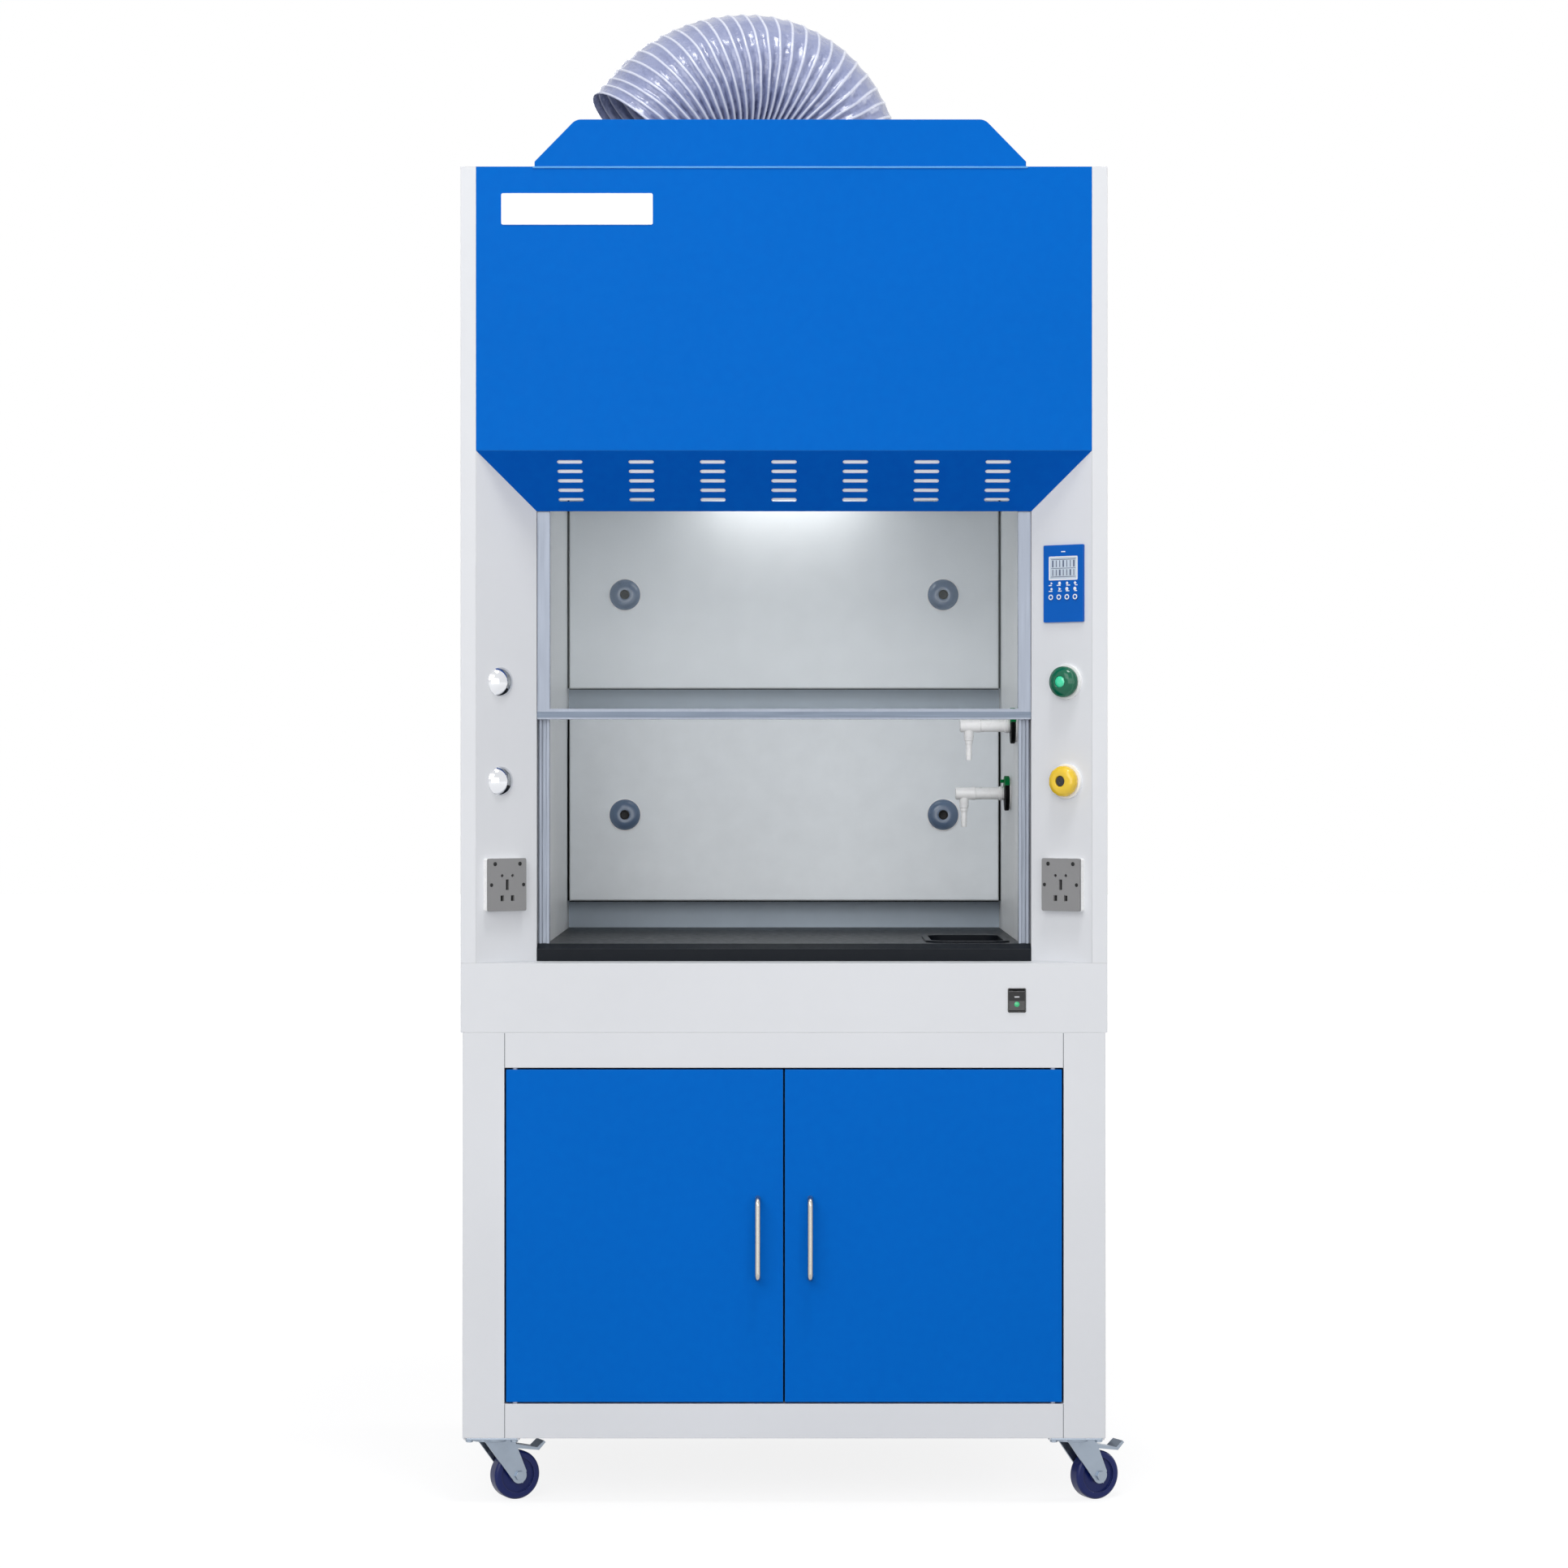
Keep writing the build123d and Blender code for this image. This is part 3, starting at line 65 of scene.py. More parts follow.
# Camera: the photograph's viewpoint, straight on and level
CAMERA_Y = -6.7
CAMERA_Z = 1.1975
FOCAL_PX = 4782
PHOTO_PX = 1932
HORIZON_PX = 946
SENSOR_MM = 36
camera_data = bpy.data.cameras.new("camera")
camera_data.sensor_width = SENSOR_MM
camera_data.lens = SENSOR_MM * FOCAL_PX / PHOTO_PX
camera_data.shift_y = (HORIZON_PX - PHOTO_PX / 2) / PHOTO_PX
camera_data.clip_end = 100
camera = bpy.data.objects.new("camera", camera_data)
camera.location = (0, CAMERA_Y, CAMERA_Z)
camera.rotation_euler = (math.radians(90), 0, 0)
scene.collection.objects.link(camera)
scene.camera = camera
scene.view_settings.view_transform = "Standard"


# Colours are written as they look, 0 to 255, and turned into the linear values of the shaders
def linear(value):
    """The sRGB curve."""
    value /= 255
    return value / 12.92 if value <= 0.04045 else ((value + 0.055) / 1.055) ** 2.4


def colour(red, green, blue):
    return (linear(red), linear(green), linear(blue), 1)


def mixed(base, other, share):
    return tuple(a * (1 - share) + b * share for a, b in zip(base, other))


WHITE = (1, 1, 1, 1)
BLACK = (0, 0, 0, 1)


class Finish:
    """A node material that is built up step by step round one Principled shader."""

    def __init__(self, name, base, rough, metal=0.0, coat=0.0, gloss=0.5):
        self.material = bpy.data.materials.new(name)
        self.material.use_nodes = True
        self.tree = self.material.node_tree
        self.shader = self.tree.nodes["Principled BSDF"]
        self.base = base
        self.rough = rough
        self.set("Base Color", base)
        self.set("Roughness", rough)
        self.set("Metallic", metal)
        self.set("Coat Weight", coat)
        self.set("Coat Roughness", 0.08)
        self.set("Specular IOR Level", gloss)
        self.colour_from = None
        self.normal_from = None
        coordinates = self.node("ShaderNodeTexCoord")
        self.place = coordinates.outputs["Object"]

    def set(self, socket, value):
        self.shader.inputs[socket].default_value = value

    def node(self, kind, **settings):
        made = self.tree.nodes.new(kind)
        for key, value in settings.items():
            setattr(made, key, value)
        return made

    def link(self, out, into):
        self.tree.links.new(out, into)

    def noise(self, scale, detail=3.0, stretch=(1, 1, 1), rough=0.5):
        mapping = self.node("ShaderNodeMapping")
        mapping.inputs["Scale"].default_value = stretch
        self.link(self.place, mapping.inputs["Vector"])
        made = self.node("ShaderNodeTexNoise")
        made.inputs["Scale"].default_value = scale
        made.inputs["Detail"].default_value = detail
        made.inputs["Roughness"].default_value = rough
        self.link(mapping.outputs["Vector"], made.inputs["Vector"])
        return made.outputs["Fac"]

    def spread(self, value, low, high, start=0.3, end=0.7):
        made = self.node("ShaderNodeMapRange")
        self.link(value, made.inputs["Value"])
        made.inputs["From Min"].default_value = start
        made.inputs["From Max"].default_value = end
        made.inputs["To Min"].default_value = low
        made.inputs["To Max"].default_value = high
        return made.outputs["Result"]

    def tint(self, value, other):
        """Mixes another colour in where value is high."""
        made = self.node("ShaderNodeMix", data_type="RGBA")
        self.link(value, made.inputs["Factor"])
        below, above, result = made.inputs[6], made.inputs[7], made.outputs[2]
        if self.colour_from is None:
            below.default_value = self.base
        else:
            self.link(self.colour_from, below)
        above.default_value = other
        self.colour_from = result
        self.link(self.colour_from, self.shader.inputs["Base Color"])
        return self

    def mottle(self, scale, share, towards=BLACK, detail=4.0, stretch=(1, 1, 1)):
        """Slow changes of colour over the surface."""
        value = self.spread(self.noise(scale, detail, stretch), 0, share)
        return self.tint(value, towards)

    def polish(self, scale, spread, stretch=(1, 1, 1)):
        """Roughness that changes over the surface."""
        value = self.spread(self.noise(scale, 5.0, stretch), self.rough - spread,
                            self.rough + spread)
        self.link(value, self.shader.inputs["Roughness"])
        return self

    def bump(self, value, strength, depth_mm):
        made = self.node("ShaderNodeBump")
        made.inputs["Strength"].default_value = strength
        made.inputs["Distance"].default_value = depth_mm * MM
        self.link(value, made.inputs["Height"])
        if self.normal_from is not None:
            self.link(self.normal_from, made.inputs["Normal"])
        self.normal_from = made.outputs["Normal"]
        self.link(self.normal_from, self.shader.inputs["Normal"])
        return self

    def grain(self, scale, strength, depth_mm, stretch=(1, 1, 1), detail=2.0):
        return self.bump(self.noise(scale, detail, stretch), strength, depth_mm)

    def round_edges(self, radius_mm, light=None, share=0.0):
        """Sharp folds catch the light as if bent, and a lighter colour, where one is given, is mixed
        in along them as a painted highlight.
        """
        bevel = self.node("ShaderNodeBevel", samples=4)
        bevel.inputs["Radius"].default_value = radius_mm * MM
        self.normal_from = bevel.outputs["Normal"]
        self.link(self.normal_from, self.shader.inputs["Normal"])
        if light is not None:
            geometry = self.node("ShaderNodeNewGeometry")
            same = self.node("ShaderNodeVectorMath", operation="DOT_PRODUCT")
            self.link(bevel.outputs["Normal"], same.inputs[0])
            self.link(geometry.outputs["Normal"], same.inputs[1])
            # Painted highlight: the colour turns lighter where the bent normal leaves the flat one.
            edge = self.spread(same.outputs["Value"], share, 0, 0.86, 0.995)
            self.tint(edge, light)
        return self


# Finishes: one for each material slot of the record, darker and lighter copies of some as painted
# shade and light, and a few for details
BLUE = colour(0, 101, 198)
BLUE_FLECK = colour(0, 128, 222)
GREY = colour(221, 223, 227)
LINER = colour(240, 245, 249)


def powder_coat(name, base, rough=0.42, edge=None, gloss=0.4, fleck=None):
    made = Finish(name, base, rough, gloss=gloss)
    # The edges are mixed towards a lighter colour: a painted highlight.
    made.round_edges(1.6, edge or mixed(base, WHITE, 0.35), 0.45)
    made.mottle(2.2, 0.05).mottle(60, 0.08, fleck or mixed(base, WHITE, 0.12))
    made.polish(35, 0.05)
    return made.grain(700, 0.10, 0.25)


def moulded(name, base, rough=0.35, coat=0.0, grain=0.08, gloss=0.4, edge_mm=0.8, edge=0.3):
    made = Finish(name, base, rough, coat=coat, gloss=gloss)
    # The edges are mixed towards a lighter colour: a painted highlight.
    made.round_edges(edge_mm, mixed(base, WHITE, edge), edge)
    made.mottle(25, 0.04).polish(90, 0.05)
    return made.grain(1500, grain, 0.12)


def metal(name, base, rough, stretch=(1, 1, 1), scale=300, grain=0.12):
    made = Finish(name, base, rough, metal=1.0)
    made.round_edges(0.7)
    made.mottle(18, 0.12, stretch=stretch).polish(scale, 0.08, stretch)
    return made.grain(scale * 3, grain, 0.08, stretch)


finishes = {
    # The light blues passed as edge colours below are painted highlights along the folds.
    "blue_paint": powder_coat("blue_paint", BLUE, 0.40, colour(70, 150, 225), 0.03, BLUE_FLECK),
    # A darker copy of the blue for the valance, which faces down: painted shade.
    "painted_shade_blue": powder_coat("painted_shade_blue", colour(0, 84, 182), 0.40, colour(50, 130, 205), 0.03,
                              BLUE_FLECK),
    "grey_paint": powder_coat("grey_paint", GREY, 0.44),
    "aluminium": metal("aluminium", colour(130, 136, 147), 0.42, (1, 1, 0.02), 500),
    "black_resin": moulded("black_resin", colour(22, 26, 32), 0.34, grain=0.12, gloss=0.08),
    # The liner's wide, strong light edge is a painted highlight.
    "liner_grey": moulded("liner_grey", LINER, 0.42, edge_mm=2.6, edge=0.8),
    # A lighter copy of the liner for the side walls, which are lit at a graze: painted light.
    "liner_side": moulded("liner_side", colour(250, 252, 253), 0.42),
    # A darker copy of the liner for the back wall: painted shade.
    "liner_back": moulded("liner_back", colour(190, 204, 218), 0.45),
    "knob_slate": moulded("knob_slate", colour(98, 118, 145), 0.22, coat=0.4),
    "white_plastic": moulded("white_plastic", colour(250, 250, 250), 0.28, coat=0.2),
    "panel_blue": moulded("panel_blue", colour(0, 92, 186), 0.36, gloss=0.15),
    "key_metal": metal("key_metal", colour(215, 222, 232), 0.2),
    "green_plastic": moulded("green_plastic", colour(0, 98, 70), 0.14, coat=0.25, gloss=0.25),
    "yellow_plastic": moulded("yellow_plastic", colour(240, 200, 34), 0.2, coat=0.5),
    "black_plastic": moulded("black_plastic", colour(24, 24, 26), 0.24, coat=0.3),
    "socket_grey": moulded("socket_grey", colour(140, 140, 141), 0.4),
    "chrome": metal("chrome", colour(232, 234, 238), 0.03, grain=0.0),
    "nickel": metal("nickel", colour(190, 187, 180), 0.28, (1, 1, 0.05), 400),
    "zinc": metal("zinc", colour(158, 169, 182), 0.36, scale=120),
    "wheel_navy": moulded("wheel_navy", colour(10, 28, 92), 0.34, coat=0.1, gloss=0.25),
    "fan_plastic": moulded("fan_plastic", colour(150, 152, 155), 0.5),
    "motor_grey": powder_coat("motor_grey", colour(96, 100, 106), 0.45),
    "inner_steel": metal("inner_steel", colour(186, 188, 190), 0.32),
    "weight_iron": powder_coat("weight_iron", colour(58, 58, 60), 0.6),
    "trap_white": moulded("trap_white", colour(228, 228, 226), 0.4),
    "seam_dark": moulded("seam_dark", colour(120, 124, 130), 0.7),
    # Black for dark screws and pilot lamps, and painted shade in socket and knob holes.
    "black_and_painted_shade": moulded("black_and_painted_shade", colour(16, 17, 19), 0.6),
    "mark_white": moulded("mark_white", colour(240, 243, 247), 0.4),
    "lens_green": moulded("lens_green", colour(22, 190, 120), 0.15, coat=0.8),
    # A near-white sheet for behind the valance's slots: painted light.
    "slot_painted_light": moulded("slot_painted_light", colour(252, 252, 255), 0.8, grain=0.4, gloss=0.1),
    # A lighter blue for the strip along the fascia's fold: painted highlight.
    "fold_highlight_blue": powder_coat("fold_highlight_blue", colour(78, 158, 224), 0.4, gloss=0.2),
    "jewel_green": moulded("jewel_green", colour(40, 222, 166), 0.1, coat=0.9),
    "disc_green": moulded("disc_green", colour(0, 112, 56), 0.4, gloss=0.04),
    # Black for the outlets' index discs, and painted shade in the gaps round the baffles.
    "disc_and_gap_shade_black": moulded("disc_and_gap_shade_black", colour(10, 12, 12), 0.4, gloss=0.03),
    # A darker copy of the aluminium for a strip on the sash rail: painted shade.
    "rail_painted_shade": metal("rail_painted_shade", colour(104, 113, 126), 0.45, (0.02, 1, 1), 500),
}


def glass_finish():
    """Clear float glass: nearly all see-through, with a faint cool body and a weak gloss."""
    made = Finish("sash_glass", colour(226, 236, 238), 0.02, gloss=0.2)
    made.mottle(6, 0.04)
    made.set("Alpha", 0.03)
    made.set("IOR", 1.52)
    return made


LAMP_STRENGTH = 3.0
LAMP_LIGHT = (1.0, 0.985, 0.96, 1)


def lamp_finish():
    """A lit diffuser with a faint grain."""
    made = Finish("lamp_white", colour(246, 247, 248), 0.5)
    made.mottle(30, 0.03)
    made.grain(900, 0.2, 0.2)
    made.set("Emission Color", LAMP_LIGHT)
    made.set("Emission Strength", LAMP_STRENGTH)
    return made


finishes["sash_glass"] = glass_finish()
finishes["lamp_white"] = lamp_finish()


# Layers of the hose's mesh: the share of their colour between low and high, and that colour; a painted
# shade in the valleys and a painted highlight on the wires
HOSE_SHADE_AND_HIGHLIGHT = {"valley_shade": (0.35, 1.0, colour(52, 60, 104)), "wire_and_highlight": (0.2, 0.9, colour(226, 230, 244))}


def hose_finish():
    """Coated fabric over a wire spiral: soft sheen, creases, painted shade in the valleys and painted
    highlights on the wires.
    """
    made = Finish("hose_grey", colour(134, 142, 178), 0.24, coat=0.45)
    made.mottle(14, 0.30, colour(92, 100, 140)).mottle(48, 0.16, colour(196, 202, 226))
    for layer, (low, high, tone) in HOSE_SHADE_AND_HIGHLIGHT.items():
        source = made.node("ShaderNodeAttribute", attribute_name=layer)
        made.tint(made.spread(source.outputs["Fac"], 0, 0.75, low, high), tone)
    made.polish(60, 0.08)
    made.grain(75, 0.9, 2.6, detail=5.0)
    made.grain(230, 0.5, 0.8, detail=4.0)
    return made


finishes["hose_grey"] = hose_finish()

slots = {part["node"]: part["material_slot"] for part in frame["record"]["subparts"]}
# Lit and shaded copies of finishes for some nodes: painted shade on the valance and the back liner,
# painted light on the side liners.
LIT_AND_SHADED_COPIES = {"valance": "painted_shade_blue", "liner_sides": "liner_side", "liner_back": "liner_back"}
for name, cad in nodes.items():
    cad.data.materials.clear()
    cad.data.materials.append(finishes[LIT_AND_SHADED_COPIES.get(name, slots[name])].material)


# Makers of meshes, in the row frame. A place is a matrix from a piece's own axes to that frame
def placed(origin, x_way=(1, 0, 0), y_way=(0, 1, 0)):
    x_axis = Vector(x_way).normalized()
    y_axis = Vector(y_way).normalized()
    z_axis = x_axis.cross(y_axis)
    matrix = Matrix((x_axis, y_axis, z_axis)).transposed().to_4x4()
    matrix.translation = Vector(origin)
    return matrix


def mesh_of(name, verts, faces, place=Matrix.Identity(4), sharp=35):
    data = bpy.data.meshes.new(name)
    data.from_pydata([place @ Vector(v) for v in verts], [], faces)
    data.validate()
    work = bmesh.new()
    work.from_mesh(data)
    bmesh.ops.recalc_face_normals(work, faces=work.faces)
    work.to_mesh(data)
    work.free()
    smooth(data, sharp)
    return data


def smooth(data, sharp=35):
    data.polygons.foreach_set("use_smooth", [True] * len(data.polygons))
    data.set_sharp_from_angle(angle=math.radians(sharp))


def piece(name, data, finish, body, slot, *stands_for):
    """Links a mesh as a piece of the hood. It moves with a body, unless that is None."""
    made = bpy.data.objects.new(name, data)
    scene.collection.objects.link(made)
    data.materials.append(finishes[finish].material)
    if body is not None:
        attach(made, body)
    if stands_for:
        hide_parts(*stands_for)
    return made


def lathe(profile, turns=64, shape=None):
    """Verts and faces of a profile of (radius, height) turned round the z axis. Ends close.

    shape gives the share of the radius that is kept at an angle, radius and height.
    """
    verts, faces = [], []
    for radius, height in profile:
        for step in range(turns):
            angle = math.tau * step / turns
            reach = radius * (shape(angle, radius, height) if shape else 1)
            verts.append((reach * math.cos(angle), reach * math.sin(angle), height))
    for ring in range(len(profile) - 1):
        for step in range(turns):
            after = (step + 1) % turns
            faces.append((ring * turns + step, ring * turns + after,
                          (ring + 1) * turns + after, (ring + 1) * turns + step))
    first = len(verts)
    verts.append((0, 0, profile[0][1]))
    verts.append((0, 0, profile[-1][1]))
    last_ring = (len(profile) - 1) * turns
    for step in range(turns):
        after = (step + 1) % turns
        faces.append((first, after, step))
        faces.append((first + 1, last_ring + step, last_ring + after))
    return verts, faces


def ring_lathe(profile, turns=64):
    """Verts and faces of a closed profile turned round the z axis, such as a ring's section."""
    verts, faces = [], []
    count = len(profile)
    for radius, height in profile:
        for step in range(turns):
            angle = math.tau * step / turns
            verts.append((radius * math.cos(angle), radius * math.sin(angle), height))
    for ring in range(count):
        following = (ring + 1) % count
        for step in range(turns):
            after = (step + 1) % turns
            faces.append((ring * turns + step, ring * turns + after,
                          following * turns + after, following * turns + step))
    return verts, faces


def scaled(points, factor=MM):
    return [tuple(value * factor for value in point) for point in points]


def prism(name, outline, low, high, place, bevel=0.0, segments=2):
    """An outline in the place's x and y, from low to high along its z, with rounded edges."""
    count = len(outline)
    verts = [(x, y, low) for x, y in outline] + [(x, y, high) for x, y in outline]
    faces = [tuple(reversed(range(count))), tuple(range(count, 2 * count))]
    faces += [(i, (i + 1) % count, count + (i + 1) % count, count + i) for i in range(count)]
    data = mesh_of(name, verts, faces, place)
    if bevel:
        work = bmesh.new()
        work.from_mesh(data)
        bmesh.ops.bevel(work, geom=list(work.edges), offset=bevel, segments=segments,
                        profile=0.5, affect="EDGES", clamp_overlap=True)
        work.to_mesh(data)
        work.free()
        smooth(data)
    return data


def rectangle(width, height, middle=(0, 0)):
    x, y = middle
    return [(x - width / 2, y - height / 2), (x + width / 2, y - height / 2),
            (x + width / 2, y + height / 2), (x - width / 2, y + height / 2)]


def rounded(width, height, radius, middle=(0, 0), steps=6):
    """The outline of a rectangle with round corners."""
    points = []
    for corner, (sx, sy) in enumerate(((1, 1), (-1, 1), (-1, -1), (1, -1))):
        for step in range(steps + 1):
            angle = math.radians(90 * corner + 90 * step / steps)
            points.append((middle[0] + sx * (width / 2 - radius) + radius * math.cos(angle),
                           middle[1] + sy * (height / 2 - radius) + radius * math.sin(angle)))
    return points


def frame_mesh(name, outer, inner, low, high, place):
    """A flat frame between two outlines with the same number of points."""
    count = len(outer)
    rings = [(outer, low), (outer, high), (inner, high), (inner, low)]
    verts = [(x, y, z) for outline, z in rings for x, y in outline]
    faces = []
    for ring in range(4):
        following = (ring + 1) % 4
        for corner in range(count):
            after = (corner + 1) % count
            faces.append((ring * count + corner, ring * count + after,
                          following * count + after, following * count + corner))
    return mesh_of(name, verts, faces, place)


def joined(name, meshes):
    """One mesh from several."""
    work = bmesh.new()
    for data in meshes:
        work.from_mesh(data)
        bpy.data.meshes.remove(data)
    made = bpy.data.meshes.new(name)
    work.to_mesh(made)
    work.free()
    smooth(made)
    return made


# The bevelled posts' faces: x runs along the bevel, y up, z out of the face
EDGE_X, EDGE_Y = 0.406, -0.329
ALONG = Vector((0.79796, -0.60272, 0)).normalized()


def on_post(side, along_mm, height, rise_mm=0.0):
    """A place on a post's bevel. side is 1 on the right and -1 on the left."""
    way = Vector((ALONG.x, side * ALONG.y, 0))
    out = way.cross(Vector((0, 0, 1)))
    edge = Vector((side * EDGE_X, EDGE_Y, height))
    return placed(edge + way * (side * along_mm * MM) + out * (rise_mm * MM), way, (0, 0, 1))


FRONT_Y = -0.4


def front_place(x, z, y=FRONT_Y):
    """A place that faces the front: x to the right, y up."""
    return placed((x, y, z), (1, 0, 0), (0, 0, 1))


# Exhaust hose: coated fabric on a wire spiral
HOSE_FOOT = Vector((0.095, 0, 2.1855))
HOSE_RISER = 0.0405
HOSE_NEAR, HOSE_FAR, HOSE_CUFF = 0.155, 0.221, 0.045
HOSE_SWEEP = math.radians(49)
HOSE_WAY = Vector((-math.cos(math.radians(15)), -math.sin(math.radians(15)), 0))
HOSE_ACROSS = Vector((math.sin(math.radians(15)), -math.cos(math.radians(15)), 0))
HOSE_RIBS = 31
HOSE_RADIUS_MM = 104.8
HOSE_AROUND, STEPS_PER_RIB = 160, 20
CLAMP_END, CLAMP_FADE, MOUTH_FADE = 0.030, 0.012, 0.010
WIRE_SHARE, WIRE_RISE_MM, DEEP_VALLEY_MM = 0.07, 0.9, 5.0
HOSE_LENGTH = HOSE_RISER + HOSE_NEAR * math.pi / 2 + HOSE_FAR * HOSE_SWEEP + HOSE_CUFF


def hose_line(travel):
    """Centre, outward way and bend radius of the hose at a distance along its line."""
    up = Vector((0, 0, 1))
    top = HOSE_FOOT + up * HOSE_RISER
    if travel < HOSE_RISER:
        return HOSE_FOOT + up * travel, -HOSE_WAY
    travel -= HOSE_RISER
    centre = top + HOSE_WAY * HOSE_NEAR
    if travel < HOSE_NEAR * math.pi / 2:
        angle = travel / HOSE_NEAR
        out = -HOSE_WAY * math.cos(angle) + up * math.sin(angle)
        return centre + out * HOSE_NEAR, out
    travel -= HOSE_NEAR * math.pi / 2
    centre = centre + up * (HOSE_NEAR - HOSE_FAR)
    angle = min(travel / HOSE_FAR, HOSE_SWEEP)
    out = HOSE_WAY * math.sin(angle) + up * math.cos(angle)
    beyond = max(0.0, travel - HOSE_FAR * HOSE_SWEEP)
    along = HOSE_WAY * math.cos(angle) - up * math.sin(angle)
    return centre + out * HOSE_FAR + along * beyond, out


def sag_mm(phase, rib, turns, angle):
    """How far the fabric lies inside the wires, deepest on the inner side of the bend."""
    inside = (1 - math.cos(angle)) / 2
    x, y = math.cos(angle), math.sin(angle)
    crumple = noise.noise(Vector((x * 5.5, y * 5.5, rib * 1.7)))
    crease = noise.noise(Vector((x * 13, y * 13, turns * 2.3)))
    fold = 1.3 + 1.5 * crumple + 5.6 * inside ** 1.5 + 1.6 * crease * (0.4 + inside)
    return math.sin(math.pi * phase) ** 1.4 * fold


def hose_mesh():
    """The hose's outer face, with layers that mark its wires and the valleys between them, for a
    painted highlight and painted shade.
    """
    around, steps = HOSE_AROUND, HOSE_RIBS * STEPS_PER_RIB
    verts, faces, valley_shades, wire_and_highlights = [], [], [], []
    for step in range(steps + 1):
        travel = HOSE_LENGTH * step / steps
        centre, out = hose_line(travel)
        collar = min(1.0, max(0.0, (travel - CLAMP_END) / CLAMP_FADE))
        mouth = min(1.0, (HOSE_LENGTH - travel) / MOUTH_FADE)
        for turn in range(around):
            angle = math.tau * turn / around
            turns = travel / HOSE_LENGTH * HOSE_RIBS + angle / math.tau
            loose = noise.noise(Vector((math.cos(angle) * 2, math.sin(angle) * 2, turns * 0.35)))
            turns += 0.14 * loose * collar
            phase = turns % 1
            near_wire = min(phase, 1 - phase)
            wire_and_highlight = math.exp(-(near_wire / WIRE_SHARE) ** 2)
            depth = sag_mm(phase, math.floor(turns), turns, angle)
            valley_shades.append(collar * min(1.0, depth / DEEP_VALLEY_MM))
            wire_and_highlights.append(collar * wire_and_highlight)
            ribbing = collar * mouth * (WIRE_RISE_MM * wire_and_highlight - depth)
            reach_mm = HOSE_RADIUS_MM + ribbing + 0.3 * collar * wire_and_highlight
            reach = reach_mm * MM
            verts.append(centre + out * (reach * math.cos(angle))
                         + HOSE_ACROSS * (reach * math.sin(angle)))
    for step in range(steps):
        for turn in range(around):
            after = (turn + 1) % around
            faces.append((step * around + turn, step * around + after,
                          (step + 1) * around + after, (step + 1) * around + turn))
    data = bpy.data.meshes.new("hose")
    data.from_pydata(verts, [], faces)
    for layer, values in (("valley_shade", valley_shades), ("wire_and_highlight", wire_and_highlights)):
        data.attributes.new(layer, "FLOAT", "POINT").data.foreach_set("value", values)
    smooth(data, 180)
    return data


hose = piece("exhaust_hose_ribbed", hose_mesh(), "hose_grey", "cabinet", "hose_grey",
             "exhaust_hose")
HOSE_WALL_MM = 1.6
wall = hose.modifiers.new("wall", "SOLIDIFY")
wall.thickness = HOSE_WALL_MM * MM
wall.offset = -1


# Valve knobs on the right post
VALVE_ALONG = 70
VALVE_UP = {"water_valve_knob": 1.3375, "gas_valve_knob": 1.1755}
KNOB_LOW = 5.3
CROWN_FACETS, FLUTES, FLUTE_DEPTH = 10, 12, 0.014


def lobes(count, depth):
    """A shape for lathe: shallow flutes round the rim."""
    def shape(angle, radius, height):
        return 1 - depth * (0.5 + 0.5 * math.cos(count * angle)) ** 2
    return shape


def water_knob():
    """A round skirt, a faceted crown and a bright jewel in its middle."""
    place = on_post(1, VALVE_ALONG, VALVE_UP["water_valve_knob"], KNOB_LOW)
    skirt = scaled([(22.5, 0), (24.6, 1.2), (25.2, 4), (25.2, 9.5), (24.4, 11), (22.6, 11.6)])
    crown = scaled([(24.2, 10.6), (20.6, 15.2), (15.0, 18.0), (10.4, 18.6), (9.6, 17.8), (9.2, 16)])
    body = joined("water_knob", [mesh_of("skirt", *lathe(skirt, 72), place),
                                 mesh_of("crown", *lathe(crown, CROWN_FACETS), place, 8)])
    piece("water_knob", body, "green_plastic", "water_valve_knob", "green_plastic",
          "water_valve_knob")
    jewel = mesh_of("water_knob_cap", *lathe(scaled([(9.4, 15.5), (9.0, 17.2), (7.4, 18.4),
                                                     (4.0, 19.2), (1.0, 19.4)]), 40), place)
    piece("water_knob_cap", jewel, "jewel_green", "water_valve_knob", "green_plastic")


def gas_knob():
    """A lobed yellow dome with a black core."""
    place = on_post(1, VALVE_ALONG, VALVE_UP["gas_valve_knob"], KNOB_LOW)
    profile = scaled([(20.5, 0), (24.2, 0.8), (25.3, 3), (25.3, 9), (23.6, 13.6), (20.2, 16.4),
                      (15.6, 17.6), (10.2, 17.9), (9.0, 17.3), (8.6, 12)])
    body = mesh_of("gas_knob", *lathe(profile, 128, lobes(FLUTES, FLUTE_DEPTH)), place)
    piece("gas_knob", body, "yellow_plastic", "gas_valve_knob", "yellow_plastic",
          "gas_valve_knob")
    core = mesh_of("gas_knob_core", *lathe(scaled([(8.7, 11), (8.6, 15.2), (7.6, 16.2),
                                                   (3.2, 16.0), (2.6, 15.0)]), 40), place)
    piece("gas_knob_core", core, "black_plastic", "gas_valve_knob", "yellow_plastic")


water_knob()
gas_knob()


# Service outlets on the right wall
WALL_X, NOZZLE_OUT = 0.390, 0.080
OUTLETS = {"water_outlet": (1.268, -0.190), "gas_outlet": (1.1535, -0.015)}
COLOURED_HALF_DEG = {"water_outlet": 78, "gas_outlet": 62}
DISC_STEPS, LUG_OUT = 40, 0.021


def wall_place(height, depth_y):
    """A place on the right wall: x up, z out of the wall into the chamber."""
    return placed((WALL_X, depth_y, height), (0, 0, 1), (0, 1, 0))


